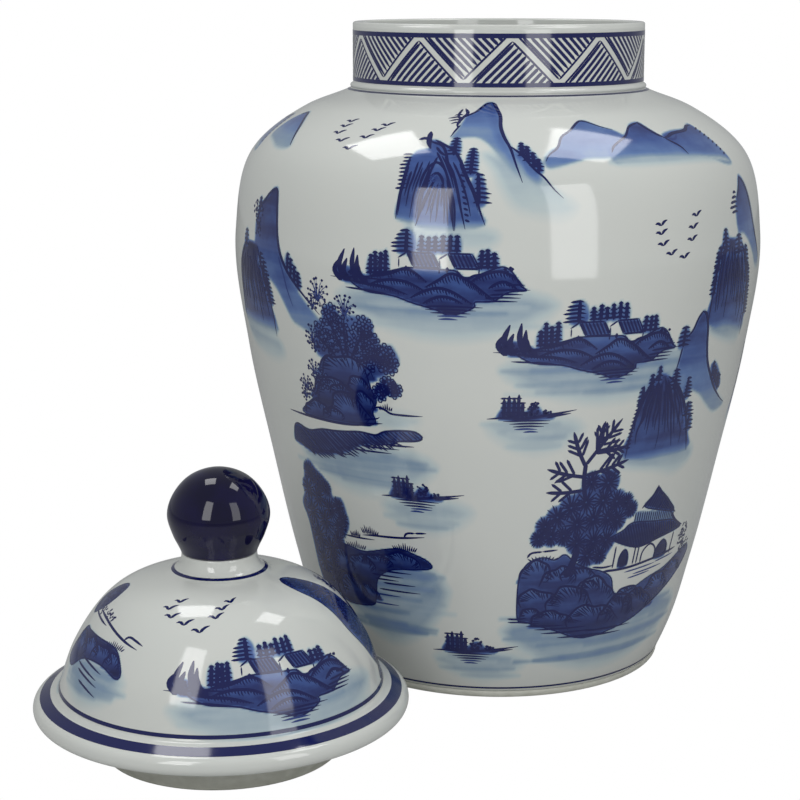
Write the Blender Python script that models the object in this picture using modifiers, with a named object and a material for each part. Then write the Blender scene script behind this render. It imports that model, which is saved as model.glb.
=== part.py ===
"""Ginger jar: a shouldered porcelain jar with an upright neck, and its domed lid standing beside it.

Every piece is turned about its own vertical axis. The frame's origin is on the ground, under the centre
of the box round the jar and the lid, with +Z up. Lengths are metres.
"""

import math

import bpy
from mathutils import Vector

TURN_STEPS = 48                 # facets round each turned piece
JOINT_GAP = 0.0003              # clearance kept between pieces that meet
WALL = 0.0056                   # fired wall thickness of the jar and the lid

# Jar
SHOULDER_RADIUS = 0.1450
SHOULDER_HEIGHT = 0.2434
JAR_HEIGHT = 0.3552
NECK_RADIUS = 0.0796
NECK_FOOT_HEIGHT = 0.3185       # where the upright neck stands on the shoulder
BEAD_RADIUS = 0.0830            # bead round the foot of the neck
BEAD_HEIGHT = 0.0040
RIM_ROUNDING = 0.0012
FOOT_RADIUS = 0.0950
FOOT_HEIGHT = 0.0040
FOOT_WIDTH = 0.0110
FOOT_ROUNDING = 0.0025
FLOOR_THICKNESS = 0.0075

# Lid
FLANGE_RADIUS = 0.0938
FLANGE_UNDERSIDE = 0.0202       # height of the flange's lower face when the lid stands on its locating ring
FLANGE_ROUNDING = 0.0059
DOME_FOOT_RADIUS = 0.0812
COLLAR_RADIUS = 0.0243          # flared collar under the knob
COLLAR_HEIGHT = 0.0928
KNOB_FOOT_RADIUS = 0.0187
KNOB_FOOT_HEIGHT = 0.1015
KNOB_RADIUS = 0.0254
KNOB_WIDEST_HEIGHT = 0.1200
KNOB_TOP_HEIGHT = 0.1436
RING_TOP_RADIUS = 0.0720        # locating ring: slides into the neck with 2 mm to spare
RING_FOOT_RADIUS = 0.0600
RING_WALL = 0.0055
RING_REBATE = 0.0010            # the ring stands in a rebate this much wider, so the flange's face stays clear

# The lid stands in front of the jar and to its left.
LID_OFFSET = Vector((-0.1432, -0.1576))
BOX_CENTRE_SHIFT = (FLANGE_RADIUS - SHOULDER_RADIUS) / 2
JAR_CENTRE = Vector((BOX_CENTRE_SHIFT - LID_OFFSET.x / 2, BOX_CENTRE_SHIFT - LID_OFFSET.y / 2, 0))
LID_CENTRE = JAR_CENTRE + LID_OFFSET.to_3d()

# Base colour, roughness and metallic value of each finish
FINISHES = {
    "glazed_porcelain": ((0.80, 0.82, 0.80, 1), 0.08, 0.0),
    "cobalt_glaze": ((0.012, 0.010, 0.080, 1), 0.06, 0.0),
    "unglazed_biscuit": ((0.72, 0.66, 0.56, 1), 0.75, 0.0),
}


def clear_scene():
    for old in list(bpy.data.objects):
        bpy.data.objects.remove(old)


def finish(node, finish_name):
    """A material of the node's own with the colour and gloss of a finish."""
    colour, roughness, metallic = FINISHES[finish_name]
    made = bpy.data.materials.new(f"{node}_{finish_name}")
    made.use_nodes = True
    shader = made.node_tree.nodes["Principled BSDF"]
    shader.inputs["Base Color"].default_value = colour
    shader.inputs["Roughness"].default_value = roughness
    shader.inputs["Metallic"].default_value = metallic
    made.diffuse_color = colour
    return made


def smooth_curve(points, start, end, spacing):
    """(radius, height) points on a Hermite curve through points, with the unit slopes start and end."""
    knots = [Vector(point) for point in points]
    chords = [(b - a).length for a, b in zip(knots, knots[1:])]
    slopes = [Vector(start)]
    for before, after, first, second in zip(knots, knots[1:], chords, chords[1:]):
        index = len(slopes)
        steep = (after - before) / first * second + (knots[index + 1] - knots[index]) / second * first
        slopes.append(steep / (first + second))
    slopes.append(Vector(end))
    curve = [knots[0]]
    for index, chord in enumerate(chords):
        steps = max(1, round(chord / spacing))
        for step in range(1, steps + 1):
            t = step / steps
            curve.append(
                (2 * t**3 - 3 * t**2 + 1) * knots[index]
                + (t**3 - 2 * t**2 + t) * chord * slopes[index]
                + (3 * t**2 - 2 * t**3) * knots[index + 1]
                + (t**3 - t**2) * chord * slopes[index + 1]
            )
    return curve


def arc(centre, radius, start, end, steps):
    """(radius, height) points on an arc, with angles in degrees from the outward direction."""
    middle = Vector(centre)
    turns = [math.radians(start + (end - start) * step / steps) for step in range(steps + 1)]
    return [middle + radius * Vector((math.cos(turn), math.sin(turn))) for turn in turns]


def inner_wall(outer, thickness):
    """The curve that lies one wall thickness inside a downward outer curve, listed bottom to top."""
    inner = []
    for index, point in enumerate(outer):
        along = outer[min(index + 1, len(outer) - 1)] - outer[max(index - 1, 0)]
        inwards = Vector((along.y, -along.x)).normalized()
        inner.append(point + thickness * inwards)
    return inner[::-1]


def turned(name, profile, finish_name, parent, collection, closed):
    """A solid of revolution about its parent's vertical axis, from a profile that runs down its outer side."""
    mesh = bpy.data.meshes.new(name)
    count = len(profile)
    edges = [(index, index + 1) for index in range(count - 1)]
    if closed:
        edges.append((count - 1, 0))
    mesh.from_pydata([(radius, 0, height) for radius, height in profile], edges, [])
    piece = bpy.data.objects.new(name, mesh)
    collection.objects.link(piece)
    piece.parent = parent
    screw = piece.modifiers.new("Turn", "SCREW")
    screw.steps = TURN_STEPS
    screw.render_steps = TURN_STEPS
    screw.use_merge_vertices = True
    screw.merge_threshold = 0.00005
    screw.use_smooth_shade = True
    piece.data.materials.append(finish(name, finish_name))
    return piece


def jar_outer():
    """Outer side of the jar's body, from the foot of the neck down to the foot ring."""
    return smooth_curve(
        [
            (BEAD_RADIUS - 0.001, NECK_FOOT_HEIGHT - JOINT_GAP),
            (0.1061, 0.3097),
            (0.1357, 0.2858),
            (SHOULDER_RADIUS, SHOULDER_HEIGHT),
            (0.1388, 0.1800),
            (0.1266, 0.1200),
            (0.1131, 0.0600),
            (0.1018, 0.0200),
            (FOOT_RADIUS, FOOT_HEIGHT + JOINT_GAP),
        ],
        start=(0.90, -0.43),
        end=(-0.45, -0.89),
        spacing=0.0150,
    )


def jar_body(parent, collection):
    """The shouldered wall and the floor, in one throwing: the neck and the foot ring are joined on."""
    outer = jar_outer()
    wall = [point for point in inner_wall(outer, WALL) if point.y > FOOT_HEIGHT + FLOOR_THICKNESS + WALL]
    floor_height = FOOT_HEIGHT + FLOOR_THICKNESS
    mouth = NECK_RADIUS - WALL
    wall = [point for point in wall if point.x > mouth + 0.004]
    profile = [Vector((0, floor_height)), Vector((wall[0].x - 1.6 * WALL, floor_height))]
    profile += [Vector((wall[0].x - 0.4 * WALL, floor_height + 0.4 * WALL))]
    profile += wall
    profile += [Vector((mouth, NECK_FOOT_HEIGHT - WALL)), Vector((mouth, NECK_FOOT_HEIGHT - JOINT_GAP))]
    profile += outer
    profile += [Vector((0, FOOT_HEIGHT + JOINT_GAP))]
    return turned("jar_body", profile, "glazed_porcelain", parent, collection, closed=False)


def jar_neck(parent, collection):
    """The upright collar, with the bead round its foot and a rounded, flat-topped rim."""
    inside = NECK_RADIUS - WALL
    top = JAR_HEIGHT
    profile = [Vector((inside, NECK_FOOT_HEIGHT))]
    profile += arc((inside + RIM_ROUNDING, top - RIM_ROUNDING), RIM_ROUNDING, 180, 90, 3)
    profile += arc((NECK_RADIUS - RIM_ROUNDING, top - RIM_ROUNDING), RIM_ROUNDING, 90, 0, 3)
    bead_middle = (BEAD_RADIUS - BEAD_HEIGHT / 2, NECK_FOOT_HEIGHT + BEAD_HEIGHT / 2)
    profile += [Vector((NECK_RADIUS, NECK_FOOT_HEIGHT + BEAD_HEIGHT + 0.001))]
    profile += arc(bead_middle, BEAD_HEIGHT / 2, 70, -90, 5)
    return turned("jar_neck", profile, "glazed_porcelain", parent, collection, closed=True)


def jar_foot_ring(parent, collection):
    """The low ring that the jar stands on, wiped free of glaze."""
    middle = FOOT_RADIUS - FOOT_ROUNDING
    profile = [Vector((FOOT_RADIUS - FOOT_WIDTH, FOOT_HEIGHT)), Vector((FOOT_RADIUS, FOOT_HEIGHT))]
    profile += arc((middle, FOOT_ROUNDING), FOOT_ROUNDING, 0, -90, 3)
    profile += arc((FOOT_RADIUS - FOOT_WIDTH + FOOT_ROUNDING, FOOT_ROUNDING), FOOT_ROUNDING, -90, -180, 3)
    return turned("jar_foot_ring", profile, "unglazed_biscuit", parent, collection, closed=True)


def lid_dome_outer():
    """Outer side of the lid, from under the knob down over the collar and the dome to the flange's edge."""
    collar = smooth_curve(
        [
            (KNOB_FOOT_RADIUS, KNOB_FOOT_HEIGHT - JOINT_GAP),
            (KNOB_FOOT_RADIUS + 0.0010, 0.0965),
            (COLLAR_RADIUS, COLLAR_HEIGHT),
        ],
        start=(0, -1),
        end=(0.92, -0.39),
        spacing=0.0035,
    )
    dome = smooth_curve(
        [
            (COLLAR_RADIUS + 0.0012, COLLAR_HEIGHT - 0.0006),
            (0.0521, 0.0825),
            (0.0727, 0.0567),
            (DOME_FOOT_RADIUS, FLANGE_UNDERSIDE + 2 * FLANGE_ROUNDING + 0.0020),
        ],
        start=(0.98, -0.20),
        end=(0.35, -0.94),
        spacing=0.0100,
    )
    edge = arc(
        (FLANGE_RADIUS - FLANGE_ROUNDING, FLANGE_UNDERSIDE + FLANGE_ROUNDING), FLANGE_ROUNDING, 84, -90, 9
    )
    return collar, dome, edge


def lid_dome(parent, collection):
    """Dome, flange and knob collar in one casting, hollow underneath."""
    collar, dome, edge = lid_dome_outer()
    hollow = [point for point in inner_wall(dome, WALL) if point.x > COLLAR_RADIUS]
    bore = RING_TOP_RADIUS - RING_WALL
    rebate = RING_TOP_RADIUS + RING_REBATE
    profile = [Vector((0, hollow[-1].y + 0.0015))] + hollow[::-1] + [
        Vector((bore + 0.0020, FLANGE_UNDERSIDE + WALL)),
        Vector((bore, FLANGE_UNDERSIDE + 0.0020)),
        Vector((bore, FLANGE_UNDERSIDE + JOINT_GAP)),
        Vector((rebate, FLANGE_UNDERSIDE + JOINT_GAP)),
        Vector((rebate + JOINT_GAP, FLANGE_UNDERSIDE)),
    ]
    profile = [Vector((0, KNOB_FOOT_HEIGHT - JOINT_GAP))] + collar + dome + edge + profile[::-1]
    return turned("lid_dome", profile, "glazed_porcelain", parent, collection, closed=False)


def lid_locating_ring(parent, collection):
    """The tapered ring that drops into the neck. The lid stands on it here."""
    top = FLANGE_UNDERSIDE
    rounding = 0.0012
    profile = [Vector((RING_TOP_RADIUS - RING_WALL, top)), Vector((RING_TOP_RADIUS, top))]
    profile += arc((RING_FOOT_RADIUS - rounding, rounding), rounding, 30, -90, 3)
    profile += arc((RING_FOOT_RADIUS - RING_WALL + rounding, rounding), rounding, -90, -150, 2)
    return turned("lid_locating_ring", profile, "unglazed_biscuit", parent, collection, closed=True)


def lid_knob(parent, collection):
    """Bud-shaped knob that the lid is lifted by."""
    side = smooth_curve(
        [
            (0, KNOB_TOP_HEIGHT),
            (0.0154, 0.1385),
            (KNOB_RADIUS, KNOB_WIDEST_HEIGHT),
            (0.0229, 0.1108),
            (KNOB_FOOT_RADIUS, KNOB_FOOT_HEIGHT),
        ],
        start=(1, 0),
        end=(-0.30, -0.95),
        spacing=0.0052,
    )
    return turned(
        "lid_knob", side + [Vector((0, KNOB_FOOT_HEIGHT))], "cobalt_glaze", parent, collection, closed=False
    )


def axis_empty(name, place, collection):
    empty = bpy.data.objects.new(name, None)
    empty.location = place
    empty.empty_display_size = 0.03
    collection.objects.link(empty)
    return empty


def main():
    clear_scene()
    collection = bpy.data.collections.new("ginger_jar")
    bpy.context.scene.collection.children.link(collection)
    jar_axis = axis_empty("jar_axis", JAR_CENTRE, collection)
    for build in (jar_body, jar_neck, jar_foot_ring):
        build(jar_axis, collection)
    lid_axis = axis_empty("lid_axis", LID_CENTRE, collection)
    for build in (lid_dome, lid_locating_ring, lid_knob):
        build(lid_axis, collection)


main()
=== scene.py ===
"""Ginger jar in painted porcelain: glaze and cobalt brushwork over the CAD frame, in a plain studio.

Sizes in this file are millimetres, and become metres where a mesh is made. A painted surface has
its own coordinates: x runs round it, from 0 at the front (-Y) and positive towards +X, and y runs up it.
"""

import math

import bpy
import numpy as np
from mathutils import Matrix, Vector

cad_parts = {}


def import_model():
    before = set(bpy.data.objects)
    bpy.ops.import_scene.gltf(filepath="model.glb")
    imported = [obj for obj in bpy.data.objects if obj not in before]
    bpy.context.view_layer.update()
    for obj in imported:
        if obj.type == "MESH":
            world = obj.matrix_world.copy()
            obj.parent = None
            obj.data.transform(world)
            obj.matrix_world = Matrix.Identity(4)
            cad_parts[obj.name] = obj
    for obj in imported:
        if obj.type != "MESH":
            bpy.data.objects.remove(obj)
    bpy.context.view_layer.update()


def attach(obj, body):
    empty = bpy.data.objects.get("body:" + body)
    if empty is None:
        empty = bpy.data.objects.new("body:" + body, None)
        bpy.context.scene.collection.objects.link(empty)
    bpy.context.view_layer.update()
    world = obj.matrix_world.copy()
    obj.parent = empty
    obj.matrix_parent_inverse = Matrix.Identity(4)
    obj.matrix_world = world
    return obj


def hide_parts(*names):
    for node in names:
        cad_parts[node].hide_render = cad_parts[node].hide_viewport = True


MM = 0.001

# Jar: the CAD part's sizes, but for a slimmer bead at the neck's foot. Profiles are (radius, height).
JAR_CENTRE = (46.0, 53.2)
FOOT_RADIUS = 95.0
FOOT_HEIGHT = 4.0
FOOT_WIDTH = 11.0
FOOT_ROUNDING = 2.5
UNDERSIDE = 4.3                 # height of the glazed body's underside, just clear of the foot ring
JAR_FOOT_TO_NECK = [
    (FOOT_RADIUS, UNDERSIDE),
    (101.8, 20.0),
    (113.1, 60.0),
    (126.6, 120.0),
    (138.8, 180.0),
    (145.0, 243.4),
    (135.7, 285.8),
    (106.1, 309.7),
    (80.9, 319.8),
]
JAR_HEIGHT = 355.2
WALL = 5.6
NECK_RADIUS = 79.6
NECK_FOOT = 320.0
BEAD_RADIUS = 81.1
BEAD_HALF = 1.2
RIM_ROUNDING = 1.2
FLOOR_HEIGHT = 11.5

# Lid: the CAD part's sizes, but for the sloping band on the flange, which carries the cobalt ring
LID_CENTRE = (-97.2, -104.4)
COLLAR = [(18.7, 101.2), (19.7, 96.5), (24.3, 92.8)]
DOME = [(25.5, 92.2), (52.1, 82.5), (72.7, 56.7), (81.2, 34.0)]
FLANGE_MIDDLE = (88.9, 25.1)
FLANGE_ROUNDING = 4.9
SLOPE_FOOT = (90.1, 30.0)
SLOPE_TOP = (85.1, 32.5)
DOME_EDGE = (82.4, 33.2)
KNOB = [(0.0, 143.6), (15.4, 138.5), (25.4, 120.0), (22.9, 110.8), (18.7, 101.5)]
RING_TOP_RADIUS = 72.0
RING_FOOT_RADIUS = 60.0
RING_WALL = 5.5
RING_HEIGHT = 20.2

# Faces round each piece
JAR_COLUMNS = 840
LID_COLUMNS = 600
RING_COLUMNS = 192
KNOB_COLUMNS = 160

# Painted surfaces
JAR_AROUND = 141.8              # radius at which the jar's x is measured
JAR_ZERO = 200.0                # length of profile below y = 0 on the jar
LID_AROUND = 69.9               # the same two for the lid's dome
LID_ZERO = 30.0
TINY = 1e-12                    # keeps a division by a length from failing at zero

# Brush
LOWEST_LIFT = 0.030             # the first stroke stands this far off the glaze, so that it always shows
HIGHEST_LIFT = 0.085            # and the last ones nearly this far, so that they lie on top
SHORTEST = 1e-6                 # a stroke shorter than this is left out
STROKE_STEP = 1.4               # longest face along a stroke
STROKE_FACE = 0.8               # widest face across one
THINNEST = 0.05                 # share of the brush's width left at a pointed end
TAPER = 0.55                    # power by which the width falls towards it
RING_POINTS = 1200              # points on a line that goes right round

# Painted rings: distance in from the lower end of their surface, or from its upper end if negative, and width
JAR_FOOT_RING = (2.2, 1.3)
JAR_SHOULDER_RING = (-1.1, 1.7)
DOME_RING = (1.6, 1.9)
FLANGE_RING = (-5.7, 5.8)
COLLAR_RING = (1.3, 1.9)

# Lattice round the neck
LATTICE_FOOT = 1.4
LATTICE_TOP = 26.0
LATTICE_REPEATS = 10
LATTICE_TURN = 2.4              # degrees from the front to the first point
LATTICE_BAR = 2.7               # half the width of a white bar, along x
LATTICE_PITCH = 4.2             # from one slanting line to the next, along x
LATTICE_LINE = 1.75             # width of a slanting line

# Colours, and how smooth a surface is
DARK, MID = "dark", "mid"
INKS = {
    DARK: (0.004, 0.008, 0.092),
    MID: (0.024, 0.050, 0.220),
}
WASH_COLOURS = [
    # tone of the wash, colour
    (0.0, (0.740, 0.750, 0.705)),
    (0.12, (0.555, 0.650, 0.665)),
    (0.27, (0.270, 0.375, 0.490)),
    (0.42, (0.125, 0.220, 0.460)),
    (0.60, (0.048, 0.100, 0.320)),
    (0.78, (0.017, 0.032, 0.160)),
    (0.98, (0.007, 0.010, 0.075)),
]
GLAZE_ROUGHNESS = 0.085
BISCUIT_ROUGHNESS = 0.45
KNOB_ROUGHNESS = 0.05
FLOOR_ROUGHNESS = 0.9
GLAZE_IOR = 1.62                # bright enough to mirror the softboxes a little more than glass does
KNOB_IOR = 1.46                 # the dark knob mirrors them less

# Studio
CAMERA_PLACE = (-0.0078, -1.0354, 0.3792)    # m
CAMERA_PITCH = 12.22            # degrees down from level
CAMERA_LENS = 88.05             # mm
CAMERA_SENSOR = 36              # mm
WORLD_COLOUR = (0.95, 0.98, 1.0, 1)
WORLD_STRENGTH = 0.34
FLOOR_RADIUS = 3.0              # m
FLOOR_COLOUR = (0.62, 0.62, 0.62, 1)
SOFTBOXES = [
    # place (m), what it faces (m), width, height (m), radiance
    ("window_right", (0.312, -0.490, 0.385), (0.046, 0.0, 0.24), 0.20, 0.46, 2.5),
    ("window_left", (-0.268, -0.540, 0.400), (-0.03, 0.0, 0.24), 0.165, 0.42, 4.0),
    ("roof_left", (-0.268, 0.110, 0.840), (-0.05, 0.110, 0.20), 0.27, 0.22, 4.8),
    ("roof_right", (0.290, 0.050, 0.840), (0.0, 0.050, 0.20), 0.33, 0.22, 4.4),
]


# ---------------------------------------------------------------- profiles


def smooth_curve(points, start, end, spacing):
    """(radius, height) points on a Hermite curve through points, with the unit slopes start and end."""
    knots = np.array(points, float)
    chords = np.linalg.norm(np.diff(knots, axis=0), axis=1)
    towards = np.diff(knots, axis=0) / chords[:, None]
    slopes = [np.array(start, float)]
    for index in range(1, len(knots) - 1):
        first, second = chords[index - 1], chords[index]
        slopes.append((towards[index - 1] * second + towards[index] * first) / (first + second))
    slopes.append(np.array(end, float))
    curve = [knots[:1]]
    for index, chord in enumerate(chords):
        t = np.linspace(0, 1, max(2, round(chord / spacing) + 1))[1:, None]
        curve.append(
            (2 * t**3 - 3 * t**2 + 1) * knots[index]
            + (t**3 - 2 * t**2 + t) * chord * slopes[index]
            + (3 * t**2 - 2 * t**3) * knots[index + 1]
            + (t**3 - t**2) * chord * slopes[index + 1]
        )
    return np.vstack(curve)


def arc(centre, radius, start, end, steps):
    """(radius, height) points on an arc, with angles in degrees from the outward direction."""
    turn = np.radians(np.linspace(start, end, steps + 1))
    return np.array(centre) + radius * np.stack([np.cos(turn), np.sin(turn)], axis=1)


def straight(first, last, spacing):
    """Points about spacing apart on a straight line."""
    length = math.dist(first, last)
    return np.linspace(first, last, max(2, round(length / spacing) + 1))


def inside_of(outer, thickness):
    """The curve one wall inside an outer curve that runs upwards, listed from its top down."""
    along = np.gradient(outer, axis=0)
    along /= np.linalg.norm(along, axis=1)[:, None]
    return (outer + thickness * np.stack([-along[:, 1], along[:, 0]], axis=1))[::-1]


def jar_skin_profile():
    """Outer side of the jar, from its foot up to the neck."""
    return smooth_curve(JAR_FOOT_TO_NECK, (0.45, 0.89), (-0.90, 0.43), 1.15)


def neck_profile():
    """Outer side of the neck, from the bead round its foot to its rim."""
    bead = arc((BEAD_RADIUS - BEAD_HALF, NECK_FOOT + BEAD_HALF), BEAD_HALF, -70, 60, 10)
    foot = NECK_FOOT + 2 * BEAD_HALF + 0.4
    wall = straight((NECK_RADIUS, foot), (NECK_RADIUS, JAR_HEIGHT - RIM_ROUNDING), 2)
    return np.vstack([bead, wall])


def jar_profile():
    """The whole jar but its foot ring, from the middle of its underside round to the floor inside."""
    outer = jar_skin_profile()
    mouth = NECK_RADIUS - WALL
    rounding_height = JAR_HEIGHT - RIM_ROUNDING
    rim = arc((NECK_RADIUS - RIM_ROUNDING, rounding_height), RIM_ROUNDING, 0, 90, 5)
    lip = arc((mouth + RIM_ROUNDING, rounding_height), RIM_ROUNDING, 90, 180, 5)
    wall = inside_of(outer, WALL)[::8]
    wall = wall[(wall[:, 0] > mouth + 2) & (wall[:, 1] > FLOOR_HEIGHT + 6)]
    wall_foot = wall[-1, 0]
    underside = [(0, UNDERSIDE), (60, UNDERSIDE)]
    throat = [(mouth, NECK_FOOT + 8), (mouth, NECK_FOOT - 4)]
    floor = [(wall_foot - 3, FLOOR_HEIGHT + 1.2), (wall_foot - 8, FLOOR_HEIGHT), (0, FLOOR_HEIGHT)]
    return np.vstack([underside, outer, neck_profile(), rim, lip, throat, wall, floor])


def foot_profile():
    """The foot ring, which stands on two rounded edges."""
    inner = FOOT_RADIUS - FOOT_WIDTH
    return np.vstack(
        [
            [(inner, FOOT_HEIGHT)],
            arc((inner + FOOT_ROUNDING, FOOT_ROUNDING), FOOT_ROUNDING, 180, 270, 6),
            arc((FOOT_RADIUS - FOOT_ROUNDING, FOOT_ROUNDING), FOOT_ROUNDING, -90, 0, 6),
            [(FOOT_RADIUS, FOOT_HEIGHT), (inner, FOOT_HEIGHT)],
        ]
    )


def dome_profile():
    """Outer side of the lid's dome, from its foot up to the collar."""
    return smooth_curve(DOME, (0.98, -0.20), (0.35, -0.94), 1.0)[::-1]


def flange_top_profile():
    """Rounded edge and sloping upper face of the flange, up to the foot of the dome."""
    edge = arc(FLANGE_MIDDLE, FLANGE_ROUNDING, -90, 70, 26)
    slope = straight(SLOPE_FOOT, SLOPE_TOP, 0.8)
    return np.vstack([edge, slope, straight(SLOPE_TOP, DOME_EDGE, 0.8)[1:]])


def collar_profile():
    """The flared collar under the knob, from the dome up."""
    return smooth_curve(COLLAR, (0, -1), (0.92, -0.39), 1.0)[::-1]


def lid_profile():
    """The lid but its locating ring, from the top of its hollow, round the flange and up to the knob."""
    dome = dome_profile()
    hollow = inside_of(dome, WALL)[::4]
    hollow = hollow[hollow[:, 0] > 24]
    bore = RING_TOP_RADIUS - RING_WALL
    seat = RING_HEIGHT + 0.3        # the underside just clears the locating ring
    underside = [
        (bore + 2, RING_HEIGHT + WALL),
        (bore, RING_HEIGHT + 2),
        (bore, seat),
        (RING_TOP_RADIUS + 1, seat),
        (RING_TOP_RADIUS + 1.3, RING_HEIGHT),
    ]
    hollow_top = [(0, hollow[0, 1] + 1.5)]
    collar_top = [(0, COLLAR[0][1])]
    return np.vstack(
        [hollow_top, hollow, underside, flange_top_profile(), dome, collar_profile(), collar_top]
    )


def locating_ring_profile():
    """The tapered ring under the flange, on a rounded lower edge."""
    rounding = 1.2
    return np.vstack(
        [
            [(RING_TOP_RADIUS - RING_WALL, RING_HEIGHT)],
            arc((RING_FOOT_RADIUS - RING_WALL + rounding, rounding), rounding, 200, 270, 5),
            arc((RING_FOOT_RADIUS - rounding, rounding), rounding, -90, 30, 6),
            [(RING_TOP_RADIUS, RING_HEIGHT), (RING_TOP_RADIUS - RING_WALL, RING_HEIGHT)],
        ]
    )


def knob_profile():
    """The knob, from the middle of its neck up to its top."""
    side = smooth_curve(KNOB, (1, 0), (-0.30, -0.95), 1.0)[::-1]
    return np.vstack([[(0, KNOB[-1][1])], side])


# ---------------------------------------------------------------- surfaces to paint on


class Skin:
    """A painted surface of revolution, from a profile that runs upwards."""

    def __init__(self, profile, centre, around, zero):
        self.profile = profile
        steps = np.linalg.norm(np.diff(profile, axis=0), axis=1)
        self.run = np.concatenate([[0], np.cumsum(steps)]) - zero
        slope = np.gradient(profile, self.run, axis=0)
        self.outwards = np.stack([slope[:, 1], -slope[:, 0]], axis=1)
        self.centre = centre
        self.around = around

    def widening(self, y):
        """How many mm of x one real mm takes at this height."""
        return self.around / np.interp(y, self.run, self.profile[:, 0])

    def place(self, x, y, lift):
        """World points, in metres, that lie lift mm outside the surface."""
        radius = np.interp(y, self.run, self.profile[:, 0])
        height = np.interp(y, self.run, self.profile[:, 1])
        radius = radius + lift * np.interp(y, self.run, self.outwards[:, 0])
        height = height + lift * np.interp(y, self.run, self.outwards[:, 1])
        turn = x / self.around
        across = self.centre[0] + radius * np.sin(turn)
        deep = self.centre[1] - radius * np.cos(turn)
        return np.stack([across, deep, height], axis=1) * MM


def flowing(points, closed=False, steps=4):
    """Points on a smooth curve through the given ones (Catmull-Rom)."""
    knots = np.array(points, float)
    if len(knots) < 3:
        return knots
    if closed:
        padded = np.vstack([knots[-1:], knots, knots[:2]])
    else:
        padded = np.vstack([2 * knots[0] - knots[1], knots, 2 * knots[-1] - knots[-2]])
    curve = []
    for a, b, c, d in zip(padded, padded[1:], padded[2:], padded[3:]):
        for t in np.arange(steps) / steps:
            square = (2 * a - 5 * b + 4 * c - d) * t**2
            cube = (3 * b - a - 3 * c + d) * t**3
            curve.append(0.5 * (2 * b + (c - a) * t + square + cube))
    if not closed:
        curve.append(knots[-1])
    return np.array(curve)


def coverage(x, y, outline, soft):
    """How far inside an outline each point lies, from 0 to 1 across its soft edge."""
    inside = np.zeros(x.shape, bool)
    gap = np.full(x.shape, np.inf)
    for (ax, ay), (bx, by) in zip(outline, np.roll(outline, -1, axis=0)):
        dx, dy = bx - ax, by - ay
        if dy:
            inside ^= ((ay > y) != (by > y)) & (x < dx * (y - ay) / dy + ax)
        share = np.clip(((x - ax) * dx + (y - ay) * dy) / (dx * dx + dy * dy + TINY), 0, 1)
        gap = np.minimum(gap, np.hypot(x - ax - share * dx, y - ay - share * dy))
    return np.clip(0.5 + np.where(inside, gap, -gap) / soft, 0, 1)


class Sheet:
    """What is painted on one skin: washes as a grid of tones, and brush strokes as thin ribbons."""

    def __init__(self, skin, columns, seed):
        self.skin = skin
        self.columns = columns
        self.tones = np.zeros((len(skin.run), columns))
        self.strokes = []
        self.random = np.random.default_rng(seed)

    def tint(self, outline, top, base, soft, fade):
        """Tints the inside of an outline, from tone top at its highest point to tone base at its lowest.

        Its edge is soft mm wide, and the tint dissolves over the lowest fade mm.
        """
        lowest = outline[:, 1].min()
        low, high = outline.min(axis=0) - soft, outline.max(axis=0) + soft
        rows = np.nonzero((self.skin.run > low[1]) & (self.skin.run < high[1]))[0]
        pitch = 2 * math.pi * self.skin.around / self.columns
        columns = np.arange(math.floor(low[0] / pitch), math.ceil(high[0] / pitch) + 1)
        x, y = np.meshgrid(columns * pitch, self.skin.run[rows])
        cover = coverage(x, y, outline, soft)
        height = np.clip((y - lowest) / np.ptp(outline[:, 1]), 0, 1)
        if fade:
            cover = cover * np.clip((y - lowest) / fade, 0, 1)
        where = np.ix_(rows, (columns + self.columns // 2) % self.columns)
        self.tones[where] += (base + (top - base) * height - self.tones[where]) * cover

    def ribbon(self, line, width, head=0.0, tail=0.0, ink=DARK):
        """One stroke along a line, thinning over the share head of its length, and over tail at its end."""
        widening = self.skin.widening(line[:, 1])
        real = np.diff(line, axis=0)
        real[:, 0] /= widening[1:]
        run = np.concatenate([[0], np.cumsum(np.hypot(real[:, 0], real[:, 1]))])
        if run[-1] < SHORTEST:
            return
        t = np.linspace(0, 1, max(5, math.ceil(run[-1] / STROKE_STEP) + 1))
        x = np.interp(t * run[-1], run, line[:, 0])
        y = np.interp(t * run[-1], run, line[:, 1])
        widening = self.skin.widening(y)
        ahead = np.stack([np.gradient(x) / widening, np.gradient(y)], axis=1)
        ahead /= np.linalg.norm(ahead, axis=1)[:, None] + TINY
        half = np.full(len(t), width / 2)
        if head:
            half *= np.clip(t / head, THINNEST, 1) ** TAPER
        if tail:
            half *= np.clip((1 - t) / tail, THINNEST, 1) ** TAPER
        side = np.stack([-ahead[:, 1] * half * widening, ahead[:, 0] * half], axis=1)
        middle = np.stack([x, y], axis=1)
        shares = np.linspace(-1, 1, max(2, math.ceil(width / STROKE_FACE) + 1))
        self.strokes.append((ink, np.stack([middle + share * side for share in shares], axis=1)))


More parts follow.
